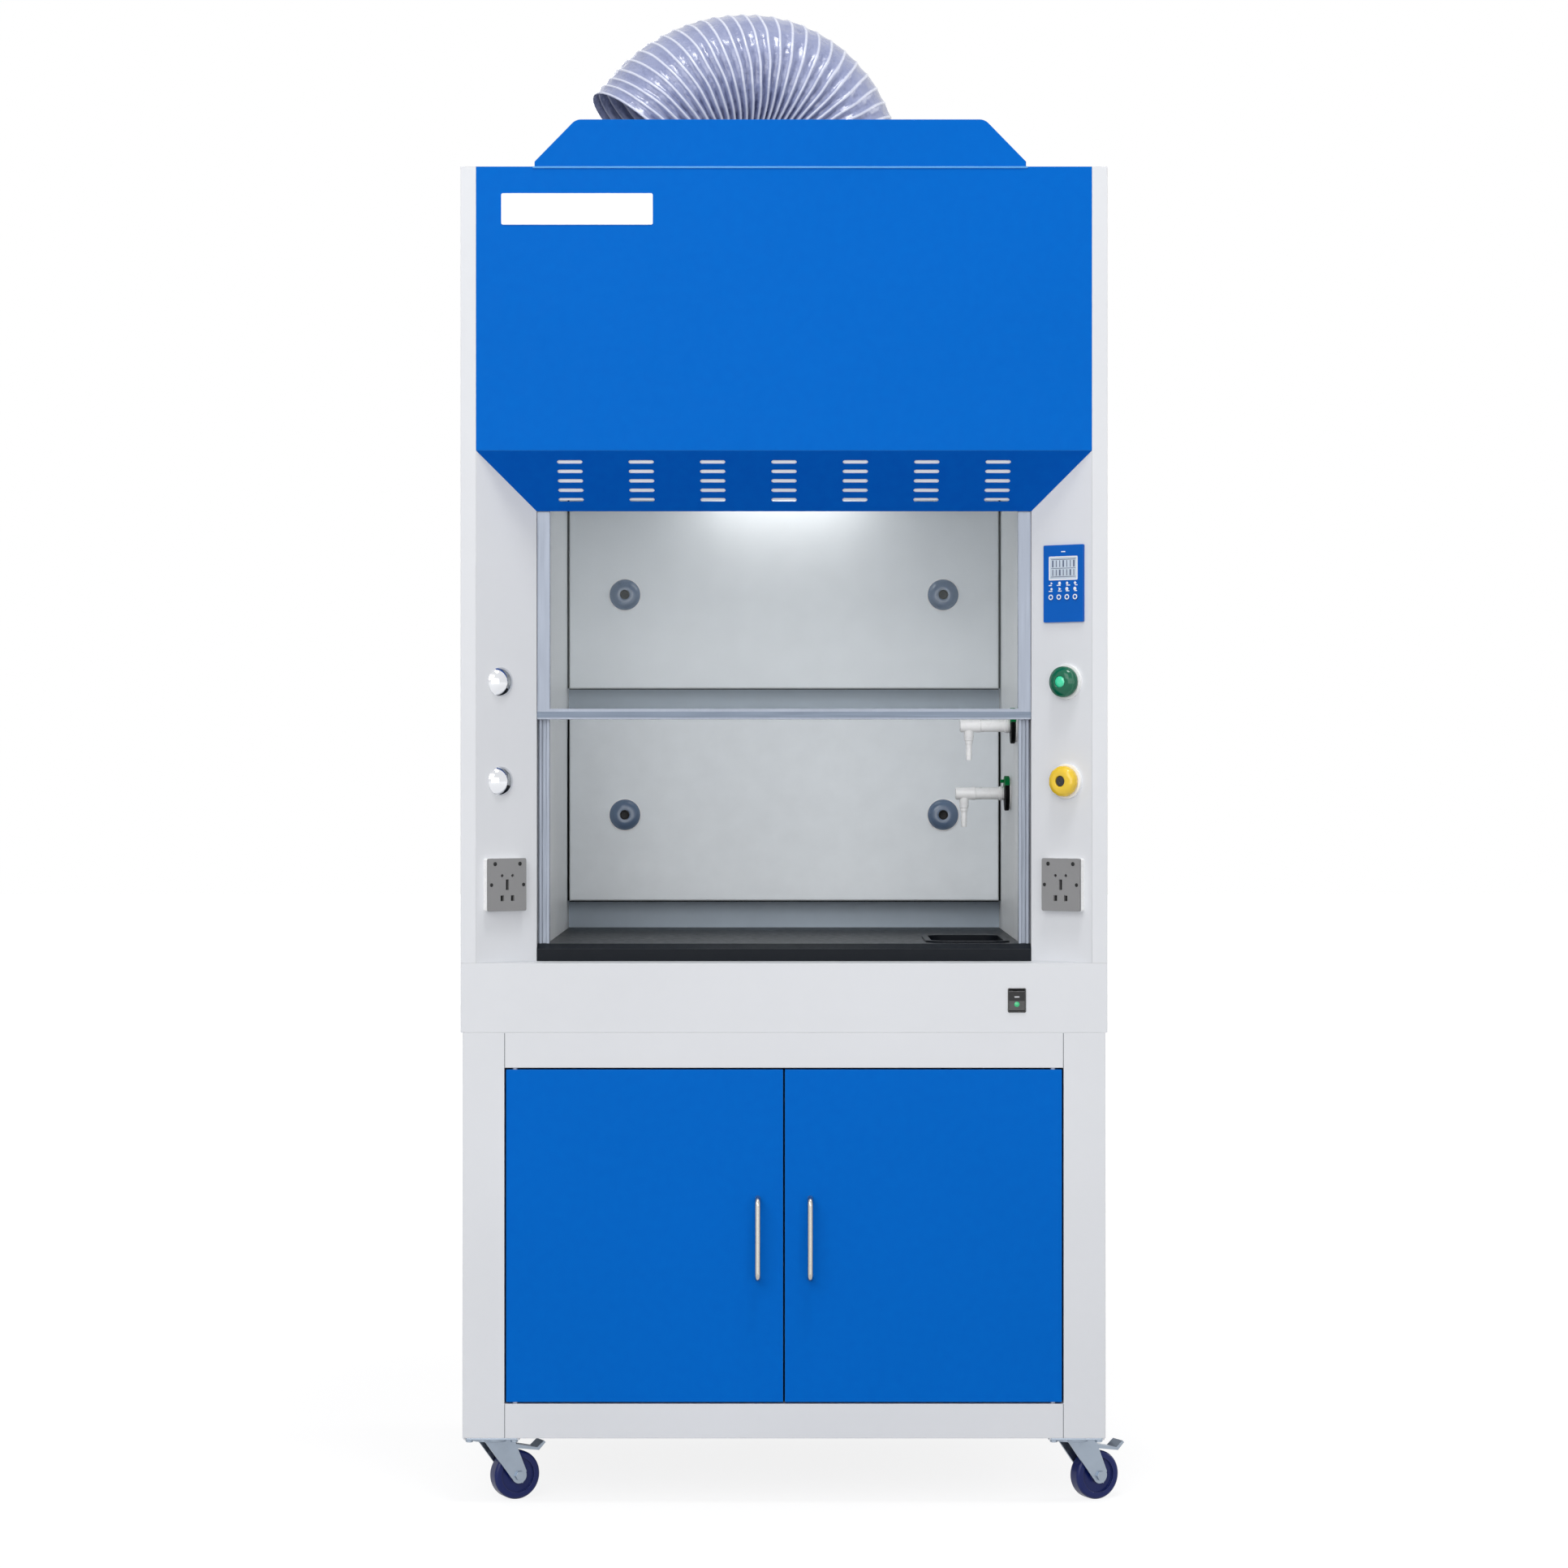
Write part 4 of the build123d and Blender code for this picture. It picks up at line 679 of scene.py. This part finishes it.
def outlet(height, depth_y):
    """A white backing flange, a barrel with joint rings and a stepped nozzle."""
    place = wall_place(height, depth_y)
    flange = mesh_of("flange", *lathe(scaled([(26, 0), (27.2, 0.8), (27.2, 3.2), (26, 4.2),
                                              (12.5, 5.4), (11.2, 6.4)]), 64), place)
    barrel = mesh_of("barrel", *lathe(scaled([(11.2, 4), (11.2, 13), (12.2, 14), (12.2, 19),
                                              (11.2, 20), (10.4, 20.6), (10.4, 60), (11.4, 61),
                                              (11.4, 67), (10.9, 68), (10.9, 92), (10.2, 94),
                                              (8.4, 95)]), 48), place)
    drop = placed((WALL_X - NOZZLE_OUT, depth_y, height), (1, 0, 0), (0, -1, 0))
    stem = mesh_of("stem", *lathe(scaled([(8.2, 4), (8.2, 19), (7.6, 20), (7.6, 24.5), (6.4, 25.5),
                                          (6.2, 30), (5.4, 31), (5.0, 34), (5.3, 38), (4.9, 38.6),
                                          (5.2, 44), (4.8, 44.6), (5.1, 50), (4.7, 50.6),
                                          (4.9, 56), (4.2, 58), (2.6, 58), (2.4, 54)]), 40), drop)
    return [flange, barrel, stem]


def disc_sector(name, place, start_deg, end_deg, rise_mm=0.0, lug=False):
    """Part of an index disc: a dished ring sector, with a lug on the coloured part."""
    section = scaled([(13, 6.2), (28.8, 2.6 - rise_mm), (30.0, 3.8 - rise_mm),
                      (30.0, 9.4 + rise_mm), (28.8, 10.4 + rise_mm), (13, 11.6)])
    count = len(section)
    steps = DISC_STEPS
    verts, faces = [], []
    for step in range(steps + 1):
        angle = math.radians(start_deg + (end_deg - start_deg) * step / steps)
        for radius, height in section:
            verts.append((radius * math.cos(angle), radius * math.sin(angle), height))
    for step in range(steps):
        for corner in range(count):
            after = (corner + 1) % count
            faces.append((step * count + corner, step * count + after,
                          (step + 1) * count + after, (step + 1) * count + corner))
    faces.append(tuple(range(count)))
    faces.append(tuple(reversed(range(steps * count, (steps + 1) * count))))
    meshes = [mesh_of(name, verts, faces, place)]
    if lug:
        outline = scaled([(-4.5, 9), (4.5, 9), (4.5, 14), (2.5, 17.5), (-2.5, 17.5), (-4.5, 14)])
        middle = math.radians((start_deg + end_deg) / 2)
        seat = place @ Matrix.Rotation(middle - math.pi / 2, 4, "Z") @ \
            Matrix.Translation((0, LUG_OUT, 0)) @ Matrix.Rotation(math.radians(90), 4, "X")
        meshes.append(prism("lug", outline, -3 * MM, 3 * MM, seat, 0.8 * MM))
    return joined(name, meshes)


outlet_white = []
for height, depth_y in OUTLETS.values():
    outlet_white += outlet(height, depth_y)
piece("outlet_barrels", joined("outlet_barrels", outlet_white), "white_plastic", "cabinet",
      "white_plastic", "service_outlets")
for outlet_name, (height, depth_y) in OUTLETS.items():
    half = COLOURED_HALF_DEG[outlet_name]
    seat = wall_place(height, depth_y)
    piece(f"{outlet_name}_colour", disc_sector("sector", seat, -half, half, 0.6, True),
          "disc_green", "cabinet", "green_plastic")
    piece(f"{outlet_name}_disc", disc_sector("disc", seat, half, 360 - half),
          "disc_and_gap_shade_black", "cabinet", "black_plastic")


# Black strips beside each baffle and under it: painted shade in the gaps there
GAP_SHADE_WIDE, GAP_SHADE_LOW, GAP_SHADE_THICK, GAP_SHADE_BACK_Y = 0.003, 0.002, 0.0024, 0.284
gap_shades = []
for baffle in ("baffle_lower", "baffle_upper"):
    low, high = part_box(baffle)
    for x in (low.x - GAP_SHADE_WIDE / 2, high.x + GAP_SHADE_WIDE / 2):
        gap_shades.append(prism("gap_shade", rectangle(GAP_SHADE_WIDE, high.z - low.z), 0, GAP_SHADE_THICK,
                           front_place(x, (low.z + high.z) / 2, GAP_SHADE_BACK_Y)))
    gap_shades.append(prism("gap_shade", rectangle(high.x - low.x, GAP_SHADE_LOW), 0, GAP_SHADE_THICK,
                       front_place(0, low.z - GAP_SHADE_LOW / 2, GAP_SHADE_BACK_Y)))
piece("baffle_gap_shades", joined("gap_shades", gap_shades), "disc_and_gap_shade_black", "cabinet", "liner_grey")

# Baffle knobs: a pale rim round each cap and a black socket in its middle, a painted shade
CAP_ACROSS, CAP_UP, CAP_BACK_Y = 0.286, (1.113, 1.5085), 0.2797
BAFFLE_KNOBS = [(x, z) for x in (-CAP_ACROSS, CAP_ACROSS) for z in CAP_UP]
rims, holes = [], []
for x, z in BAFFLE_KNOBS:
    place = front_place(x, z, CAP_BACK_Y)
    rims.append(mesh_of("rim", *ring_lathe(scaled([(27.6, 0.2), (29.2, 0.2), (29.3, 1.2),
                                                   (28.6, 2.0), (27.6, 2.0)]), 72), place))
    holes.append(mesh_of("hole", *lathe(scaled([(8.0, 4), (8.0, 11.6), (8.6, 12.3), (7.6, 12.5),
                                                (7.0, 11.0), (6.8, 5.6), (3.2, 5.2)]), 48), place))
piece("baffle_knob_rims", joined("rims", rims), "white_plastic", "cabinet", "knob_slate")
piece("baffle_knob_sockets", joined("sockets", holes), "black_and_painted_shade", "cabinet", "knob_slate")


# Control panel: display, marks and key rings
PANEL_ALONG, PANEL_UP, PANEL_FACE = 64.9, 1.498, 4.0
KEY_PITCH, KEY_DROP = 15.6, 22
DISPLAY_UP = 25
INK_ROWS, INK_COLUMNS, INK_START, INK_PITCH = ((27, 38), (13, 23)), 7, -20.5, 6.8
INK_LINES = (11.2, 25.0, 39.4)
MARK_ROWS, MARK_UNDER, TOP_MARK_UP = (0.6, -8.8), 3.4, 52


def panel_place(across_mm, up_mm, rise_mm=0.0):
    """A place on the panel's face, from its middle."""
    return on_post(1, PANEL_ALONG + across_mm, PANEL_UP + up_mm * MM, PANEL_FACE + rise_mm)


finishes["display"] = moulded("display", colour(196, 208, 222), 0.12, coat=0.6)
finishes["display_ink"] = moulded("display_ink", colour(92, 104, 128), 0.4)
display = prism("display", rounded(0.0520, 0.0354, 0.001), -1.0 * MM, -0.3 * MM,
                panel_place(0, DISPLAY_UP), 0.2 * MM)
piece("panel_display", display, "display", "cabinet", "panel_blue")
bezel_outer, bezel_inner = rounded(0.0556, 0.039, 0.002), rounded(0.0516, 0.035, 0.001)


piece("panel_bezel", frame_mesh("bezel", bezel_outer, bezel_inner, -0.2 * MM, 0.5 * MM,
                                panel_place(0, DISPLAY_UP)), "mark_white", "cabinet", "panel_blue")
ink = []
for row, (low, high) in enumerate(INK_ROWS):
    for column in range(INK_COLUMNS):
        x = INK_START + column * INK_PITCH
        wide = 1.6 if (column + row) % 3 else 3.0
        ink.append(prism("ink", rectangle(wide * MM, (high - low) * MM, (x * MM, 0)), -0.3 * MM,
                         -0.1 * MM, panel_place(0, (low + high) / 2)))
for up in INK_LINES:
    ink.append(prism("ink", rectangle(0.047, 0.0009), -0.3 * MM, -0.1 * MM, panel_place(0, up)))
piece("panel_display_ink", joined("ink", ink), "display_ink", "cabinet", "panel_blue")

# Two rows of generic marks over the keys: a small figure and a line under each
marks = []
symbols = random.Random(4)
for column in range(4):
    x = (column - 1.5) * KEY_PITCH
    for up in MARK_ROWS:
        size = symbols.uniform(4.6, 6.8)
        turns = symbols.choice((3, 4, 6, 24))
        verts, faces = lathe(scaled([(size / 2, 0), (size / 2, 0.25), (size / 2 - 0.2, 0.35)]), turns)
        marks.append(mesh_of("mark", verts, faces, panel_place(x + symbols.uniform(-1, 1), up)))
        marks.append(prism("mark", rectangle(symbols.uniform(4, 8) * MM, 0.0016), 0, 0.3 * MM,
                           panel_place(x + symbols.uniform(-2, 2), up - MARK_UNDER)))
marks.append(prism("mark", rectangle(0.008, 0.0016), 0, 0.3 * MM, panel_place(0, TOP_MARK_UP)))
piece("panel_marks", joined("marks", marks), "mark_white", "cabinet", "panel_blue")
for number in range(4):
    key = f"panel_key_{number + 1}"
    place = panel_place((number - 1.5) * KEY_PITCH, -KEY_DROP, 1.2)
    ring = ring_lathe(scaled([(2.6, -0.1), (4.4, -0.1), (4.4, 0.3), (2.6, 0.35)]), 40)
    piece(f"{key}_ring", mesh_of("ring", *ring, place), "mark_white", key, "key_metal")
    nodes[key].data.materials[0] = finishes["panel_blue"].material


# Sockets: black insides, a painted shade in their holes, two screws and two small pilot lamps on each
# plate
SOCKET_ALONG, SOCKET_UP = 66.4, 1.007
PLATE_FACE, SCREW_ACROSS, PILOT_ACROSS, PILOT_UP = 14.7, 31, 24, 0.034
backs, screws, pilots = [], [], []
for side in (-1, 1):
    backs.append(prism("back", rounded(0.066, 0.079, 0.001), 8.4 * MM, 9.6 * MM,
                       on_post(side, SOCKET_ALONG, SOCKET_UP)))
    for across in (-SCREW_ACROSS, SCREW_ACROSS):
        head = lathe(scaled([(3.0, -0.4), (3.0, 0.3), (2.4, 0.8), (1.0, 1.0)]), 32)
        place = on_post(side, SOCKET_ALONG + across, SOCKET_UP, PLATE_FACE)
        screws.append(mesh_of("screw", *head, place))
    for across in (-PILOT_ACROSS, PILOT_ACROSS):
        dot = lathe(scaled([(3.4, -0.3), (3.4, 0.3), (2.2, 0.9), (1.0, 1.1)]), 28)
        pilots.append(mesh_of("pilot", *dot,
                              on_post(side, SOCKET_ALONG + across, SOCKET_UP + PILOT_UP,
                                      PLATE_FACE)))
piece("socket_insides", joined("backs", backs), "black_and_painted_shade", "cabinet", "socket_grey")
piece("socket_screws", joined("screws", screws), "black_and_painted_shade", "cabinet", "inner_steel")
piece("socket_pilots", joined("pilots", pilots), "black_and_painted_shade", "cabinet", "black_plastic")


# A darker strip on the sash rail's front, a darker copy of the aluminium: painted shade
rail_low, rail_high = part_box("sash_frame")
SHADED_STRIP_HEIGHT, SHADED_STRIP_UP, SHADED_STRIP_INSET = 0.0095, 0.0078, 0.006
shaded_rail_strip = prism("shaded_rail_strip", rectangle(rail_high.x - rail_low.x - 2 * SHADED_STRIP_INSET, SHADED_STRIP_HEIGHT), -0.2 * MM,
             0.3 * MM, front_place(0, rail_low.z + SHADED_STRIP_UP, rail_low.y))
piece("sash_shaded_rail_strip", shaded_rail_strip, "rail_painted_shade", "sash", "aluminium")


# Power switch: bezel, white mark and green lamp
SWITCH_X, SWITCH_Z, SWITCH_AXIS_Y = 0.378, 0.820, -0.394
UPPER_TILT_DEG = 14
bezel = frame_mesh("switch_bezel", rounded(0.0296, 0.0396, 0.0022), rounded(0.0264, 0.0364, 0.0005),
                   0, 1.6 * MM, front_place(SWITCH_X, SWITCH_Z))
piece("switch_bezel", bezel, "black_plastic", "cabinet", "black_plastic")
upper_tilt = Matrix.Rotation(math.radians(UPPER_TILT_DEG), 4, "X")
switch_axis = Matrix.Translation((SWITCH_X, SWITCH_AXIS_Y, SWITCH_Z))
mark_place = switch_axis @ upper_tilt @ placed((0, -0.00705, 0.0075), (1, 0, 0), (0, 0, 1))
piece("switch_mark", prism("mark", rectangle(0.008, 0.0018), -0.1 * MM, 0.25 * MM, mark_place),
      "mark_white", "power_rocker", "black_plastic")
lamp_place = switch_axis @ placed((0, -0.00695, -0.0065), (1, 0, 0), (0, 0, 1))
piece("switch_lamp", mesh_of("lamp", *lathe(scaled([(4.3, -0.4), (4.3, 0.3), (3.4, 0.9),
                                                    (1.2, 1.2)]), 40), lamp_place),
      "lens_green", "power_rocker", "black_plastic")


# The folded top edge of the fascia catches the light as a thin line under the cowl, painted as a
# lighter blue strip: a painted highlight
COWL_MIDDLE, FOLD_WIDTH, FOLD_UP = -0.006, 0.804, 2.1722
fold = prism("fold", rounded(FOLD_WIDTH, 0.0030, 0.0014), -0.2 * MM, 1.4 * MM,
             front_place(COWL_MIDDLE, FOLD_UP), 0.4 * MM)
piece("fascia_fold_highlight", fold, "fold_highlight_blue", "cabinet", "blue_paint")

# A pale sheet behind the valance's slots: painted light, standing in for the lit inside seen through
# them
VALANCE_TOP = Vector((0, FRONT_Y, 1.7125))
VALANCE_FOOT = Vector((0, -0.329, 1.6185))
cloth_place = placed((VALANCE_TOP + VALANCE_FOOT) / 2, (1, 0, 0), VALANCE_TOP - VALANCE_FOOT)
piece("slot_light_backing", prism("slot_light_backing", rounded(0.760, 0.078, 0.002), -3.2 * MM, -2.2 * MM,
                           cloth_place, 0.2 * MM), "slot_painted_light", "cabinet", "white_plastic")

# Seams where the base's rails meet its posts
SEAM_ACROSS, SEAM_WIDE, SEAM_SPANS = 0.4535, 0.0011, ((0.1095, 0.1645), (0.7110, 0.7670))
seams = []
for x in (-SEAM_ACROSS, SEAM_ACROSS):
    for low, high in SEAM_SPANS:
        seams.append(prism("seam", rectangle(SEAM_WIDE, high - low), -0.2 * MM, 0.25 * MM,
                           front_place(x, (low + high) / 2)))
piece("frame_seams", joined("seams", seams), "seam_dark", "cabinet", "grey_paint")


# Casters: plates with bolts, swivel races, hub caps
CASTER_X, CASTER_Y, FRONT_TURN, REAR_TURN = 0.475, 0.354, 28, 208
PLATE_SPAN, PLATE_UNDER, PLATE_TOP, BOLT_ACROSS = 0.0912, 0.1056, 0.1089, 0.0365
AXLE_UP, AXLE_TRAIL = 0.04, 0.038
SPOTS = {"front_left": (-CASTER_X, -CASTER_Y, FRONT_TURN),
         "front_right": (CASTER_X, -CASTER_Y, FRONT_TURN),
         "rear_left": (-CASTER_X, CASTER_Y, REAR_TURN),
         "rear_right": (CASTER_X, CASTER_Y, REAR_TURN)}
plates = []
for corner, (x, y, turn) in SPOTS.items():
    flat = placed((x, y, 0), (1, 0, 0), (0, 1, 0))
    plates.append(prism("plate", rounded(PLATE_SPAN, PLATE_SPAN, 0.006), PLATE_UNDER, PLATE_TOP,
                        flat, 0.5 * MM))
    for sx in (-1, 1):
        for sy in (-1, 1):
            bolt = lathe(scaled([(6.2, 0), (6.2, -3.4), (5.4, -4.2), (2.0, -4.4)]), 6)
            spot = placed((x + sx * BOLT_ACROSS, y + sy * BOLT_ACROSS, PLATE_UNDER))
            plates.append(mesh_of("bolt", *bolt, spot, 20))
    way = Vector((math.cos(math.radians(turn)), math.sin(math.radians(turn)), 0))
    race = lathe(scaled([(17.5, 97.2), (22.8, 98.0), (24.6, 100.5), (24.6, 103.4), (23.0, 105.2)]), 56)
    piece(f"caster_race_{corner}", mesh_of("race", *race, placed((x, y, 0))), "zinc",
          f"caster_fork_{corner}", "zinc")
    axle = Vector((x, y, AXLE_UP)) + way * AXLE_TRAIL
    caps = []
    for side in (-1, 1):
        seat = placed(axle, way * side, (0, 0, 1))
        caps.append(mesh_of("cap", *ring_lathe(scaled([(5.2, 8.6), (12.4, 8.8), (12.6, 12.6),
                                                       (11.4, 13.6), (5.2, 14.2)]), 48), seat))
    piece(f"caster_hub_{corner}", joined("caps", caps), "motor_grey",
          f"caster_wheel_{corner}", "zinc")
piece("caster_plates", joined("plates", plates), "zinc", "cabinet", "zinc")


# Sash cables: wound cables in the place of the plain ones, which stay where they are
CABLE_RADIUS, STRAND_RISE, CABLE_STEPS = 1.45, 0.12, 120


def cable_piece(name, node):
    """A pair of wound cables in the place of a node."""
    low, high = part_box(node)
    middle_x = high.x - CABLE_RADIUS * MM
    middle_y = (low.y + high.y) / 2
    length_mm = (high.z - low.z) / MM
    runs = []
    for side in (-1, 1):
        profile = [(CABLE_RADIUS + STRAND_RISE * (step % 2), length_mm * step / CABLE_STEPS)
                   for step in range(CABLE_STEPS + 1)]
        runs.append(mesh_of("run", *lathe(scaled(profile), 12),
                            placed((side * middle_x, middle_y, low.z))))
    cable = piece(name, joined(name, runs), "inner_steel", None, "inner_steel", node)
    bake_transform(cable)


cable_piece("sash_cables_front_wound", "sash_cables_front")
cable_piece("sash_cables_rear_wound", "sash_cables_rear")


# Screws along the edges of the back and side panels, and seams between their sheets
SCREW = scaled([(4.6, -0.4), (4.6, 0.7), (3.8, 1.8), (2.2, 2.3), (1.5, 2.3), (1.4, 1.2)])
BACK_Y, SIDE_X = 0.4, 0.525
SCREW_UP = [0.905, 1.125, 1.345, 1.565, 1.785, 2.005, 2.150]
BACK_SCREW_X, SIDE_SCREW_Y = 0.512, 0.388
ROW_PITCH, ROWS_UP = 0.236, (0.130, 0.748, 0.905, 2.160)
BACK_SEAM_X, BACK_SEAM_WIDE, BACK_SEAM_LONG, BACK_SEAM_UP = 0.17, 0.0012, 1.29, 1.526
CROSS_SEAM_LONG, CROSS_SEAM_UP = 1.044, 0.8805
fixings, panel_seams = [], []


def back_place(x, z):
    """A place on the back: x to its own right, y up."""
    return placed((x, BACK_Y, z), (-1, 0, 0), (0, 0, 1))


def side_place(side, y, z):
    """A place on a side panel: y up."""
    return placed((side * SIDE_X, y, z), (0, side, 0), (0, 0, 1))


for height in SCREW_UP:
    for side in (-1, 1):
        for place in (back_place(side * BACK_SCREW_X, height), side_place(side, SIDE_SCREW_Y, height)):
            fixings.append(mesh_of("screw", *lathe(SCREW, 24), place))
for step in range(-2, 3):
    for height in ROWS_UP:
        fixings.append(mesh_of("screw", *lathe(SCREW, 24), back_place(step * ROW_PITCH, height)))
for x in (-BACK_SEAM_X, BACK_SEAM_X):
    panel_seams.append(prism("seam", rectangle(BACK_SEAM_WIDE, BACK_SEAM_LONG), -0.2 * MM, 0.2 * MM,
                             back_place(x, BACK_SEAM_UP)))
panel_seams.append(prism("seam", rectangle(CROSS_SEAM_LONG, BACK_SEAM_WIDE), -0.2 * MM, 0.2 * MM,
                         back_place(0, CROSS_SEAM_UP)))
piece("panel_screws", joined("screws", fixings), "zinc", "cabinet", "zinc")
piece("panel_seams", joined("seams", panel_seams), "seam_dark", "cabinet", "grey_paint")


# Stage: a pale floor that keeps the shadow, a white surround and soft studio light
FLOOR_HALF = 30
FLOOR_COLOUR, FLOOR_GLOW = (0.55, 0.55, 0.56, 1), 1.36
GLOW_SHARE = {"From Min": 1.2, "From Max": 7, "To Min": 0.62, "To Max": 0.82}
floor_data = mesh_of("floor", [(-FLOOR_HALF, -FLOOR_HALF, 0), (FLOOR_HALF, -FLOOR_HALF, 0),
                               (FLOOR_HALF, FLOOR_HALF, 0), (-FLOOR_HALF, FLOOR_HALF, 0)],
                     [(0, 1, 2, 3)])
floor = bpy.data.objects.new("floor", floor_data)
scene.collection.objects.link(floor)


def seen_rays(tree):
    """1 for what the camera, a reflection or clear glass sees, 0 for light that falls on things."""
    rays = tree.nodes.new("ShaderNodeLightPath")
    first = tree.nodes.new("ShaderNodeMath")
    first.operation = "MAXIMUM"
    second = tree.nodes.new("ShaderNodeMath")
    second.operation = "MAXIMUM"
    tree.links.new(rays.outputs["Is Camera Ray"], first.inputs[0])
    tree.links.new(rays.outputs["Is Glossy Ray"], first.inputs[1])
    tree.links.new(first.outputs[0], second.inputs[0])
    tree.links.new(rays.outputs["Is Transmission Ray"], second.inputs[1])
    return second.outputs[0]


def floor_look():
    """A grey floor that takes the shadow, and glows white where it is seen, more so far away."""
    material = bpy.data.materials.new("floor")
    material.use_nodes = True
    tree = material.node_tree
    tree.nodes.clear()
    diffuse = tree.nodes.new("ShaderNodeBsdfDiffuse")
    diffuse.inputs["Color"].default_value = FLOOR_COLOUR
    glow = tree.nodes.new("ShaderNodeEmission")
    glow.inputs["Strength"].default_value = FLOOR_GLOW
    position = tree.nodes.new("ShaderNodeNewGeometry")
    distance = tree.nodes.new("ShaderNodeVectorMath")
    distance.operation = "LENGTH"
    tree.links.new(position.outputs["Position"], distance.inputs[0])
    fade = tree.nodes.new("ShaderNodeMapRange")
    for socket, value in GLOW_SHARE.items():
        fade.inputs[socket].default_value = value
    tree.links.new(distance.outputs["Value"], fade.inputs["Value"])
    share = tree.nodes.new("ShaderNodeMath")
    share.operation = "MULTIPLY"
    tree.links.new(seen_rays(tree), share.inputs[0])
    tree.links.new(fade.outputs["Result"], share.inputs[1])
    mix = tree.nodes.new("ShaderNodeMixShader")
    tree.links.new(share.outputs[0], mix.inputs["Fac"])
    tree.links.new(diffuse.outputs[0], mix.inputs[1])
    tree.links.new(glow.outputs[0], mix.inputs[2])
    out = tree.nodes.new("ShaderNodeOutputMaterial")
    tree.links.new(mix.outputs[0], out.inputs["Surface"])
    return material


floor_data.materials.append(floor_look())

WORLD_LIGHT = 0.42


def studio_world():
    """White where it is seen, and a soft light on things."""
    world = bpy.data.worlds.new("studio")
    world.use_nodes = True
    tree = world.node_tree
    background = tree.nodes["Background"]
    background.inputs["Color"].default_value = WHITE
    strength = tree.nodes.new("ShaderNodeMapRange")
    strength.inputs["To Min"].default_value = WORLD_LIGHT
    strength.inputs["To Max"].default_value = 1.0
    tree.links.new(seen_rays(tree), strength.inputs["Value"])
    tree.links.new(strength.outputs["Result"], background.inputs["Strength"])
    return world


scene.world = studio_world()


def area_light(name, place, target, size, power):
    """A rectangular lamp at a place, aimed at a target. Its power is in watts."""
    data = bpy.data.lights.new(name, "AREA")
    data.shape = "RECTANGLE"
    data.size, data.size_y = size
    data.energy = power
    light = bpy.data.objects.new(name, data)
    light.location = place
    light.rotation_euler = (Vector(target) - Vector(place)).to_track_quat("-Z", "Y").to_euler()
    scene.collection.objects.link(light)


MIDDLE, MOUTH = (0, 0, 1.2), (0, -0.3, 1.2)
area_light("key", (-2.2, -5.2, 4.2), MIDDLE, (3.4, 3.4), 100)
area_light("front", (0.4, -7.4, 1.9), MIDDLE, (6.4, 4.4), 160)
area_light("top", (0.5, -1.9, 5.6), MOUTH, (1.1, 1.1), 75)
area_light("back", (-2.6, 6.4, 3.4), MIDDLE, (3.4, 3.4), 120)
area_light("side", (6.2, 1.6, 3.0), MIDDLE, (3.0, 3.0), 80)
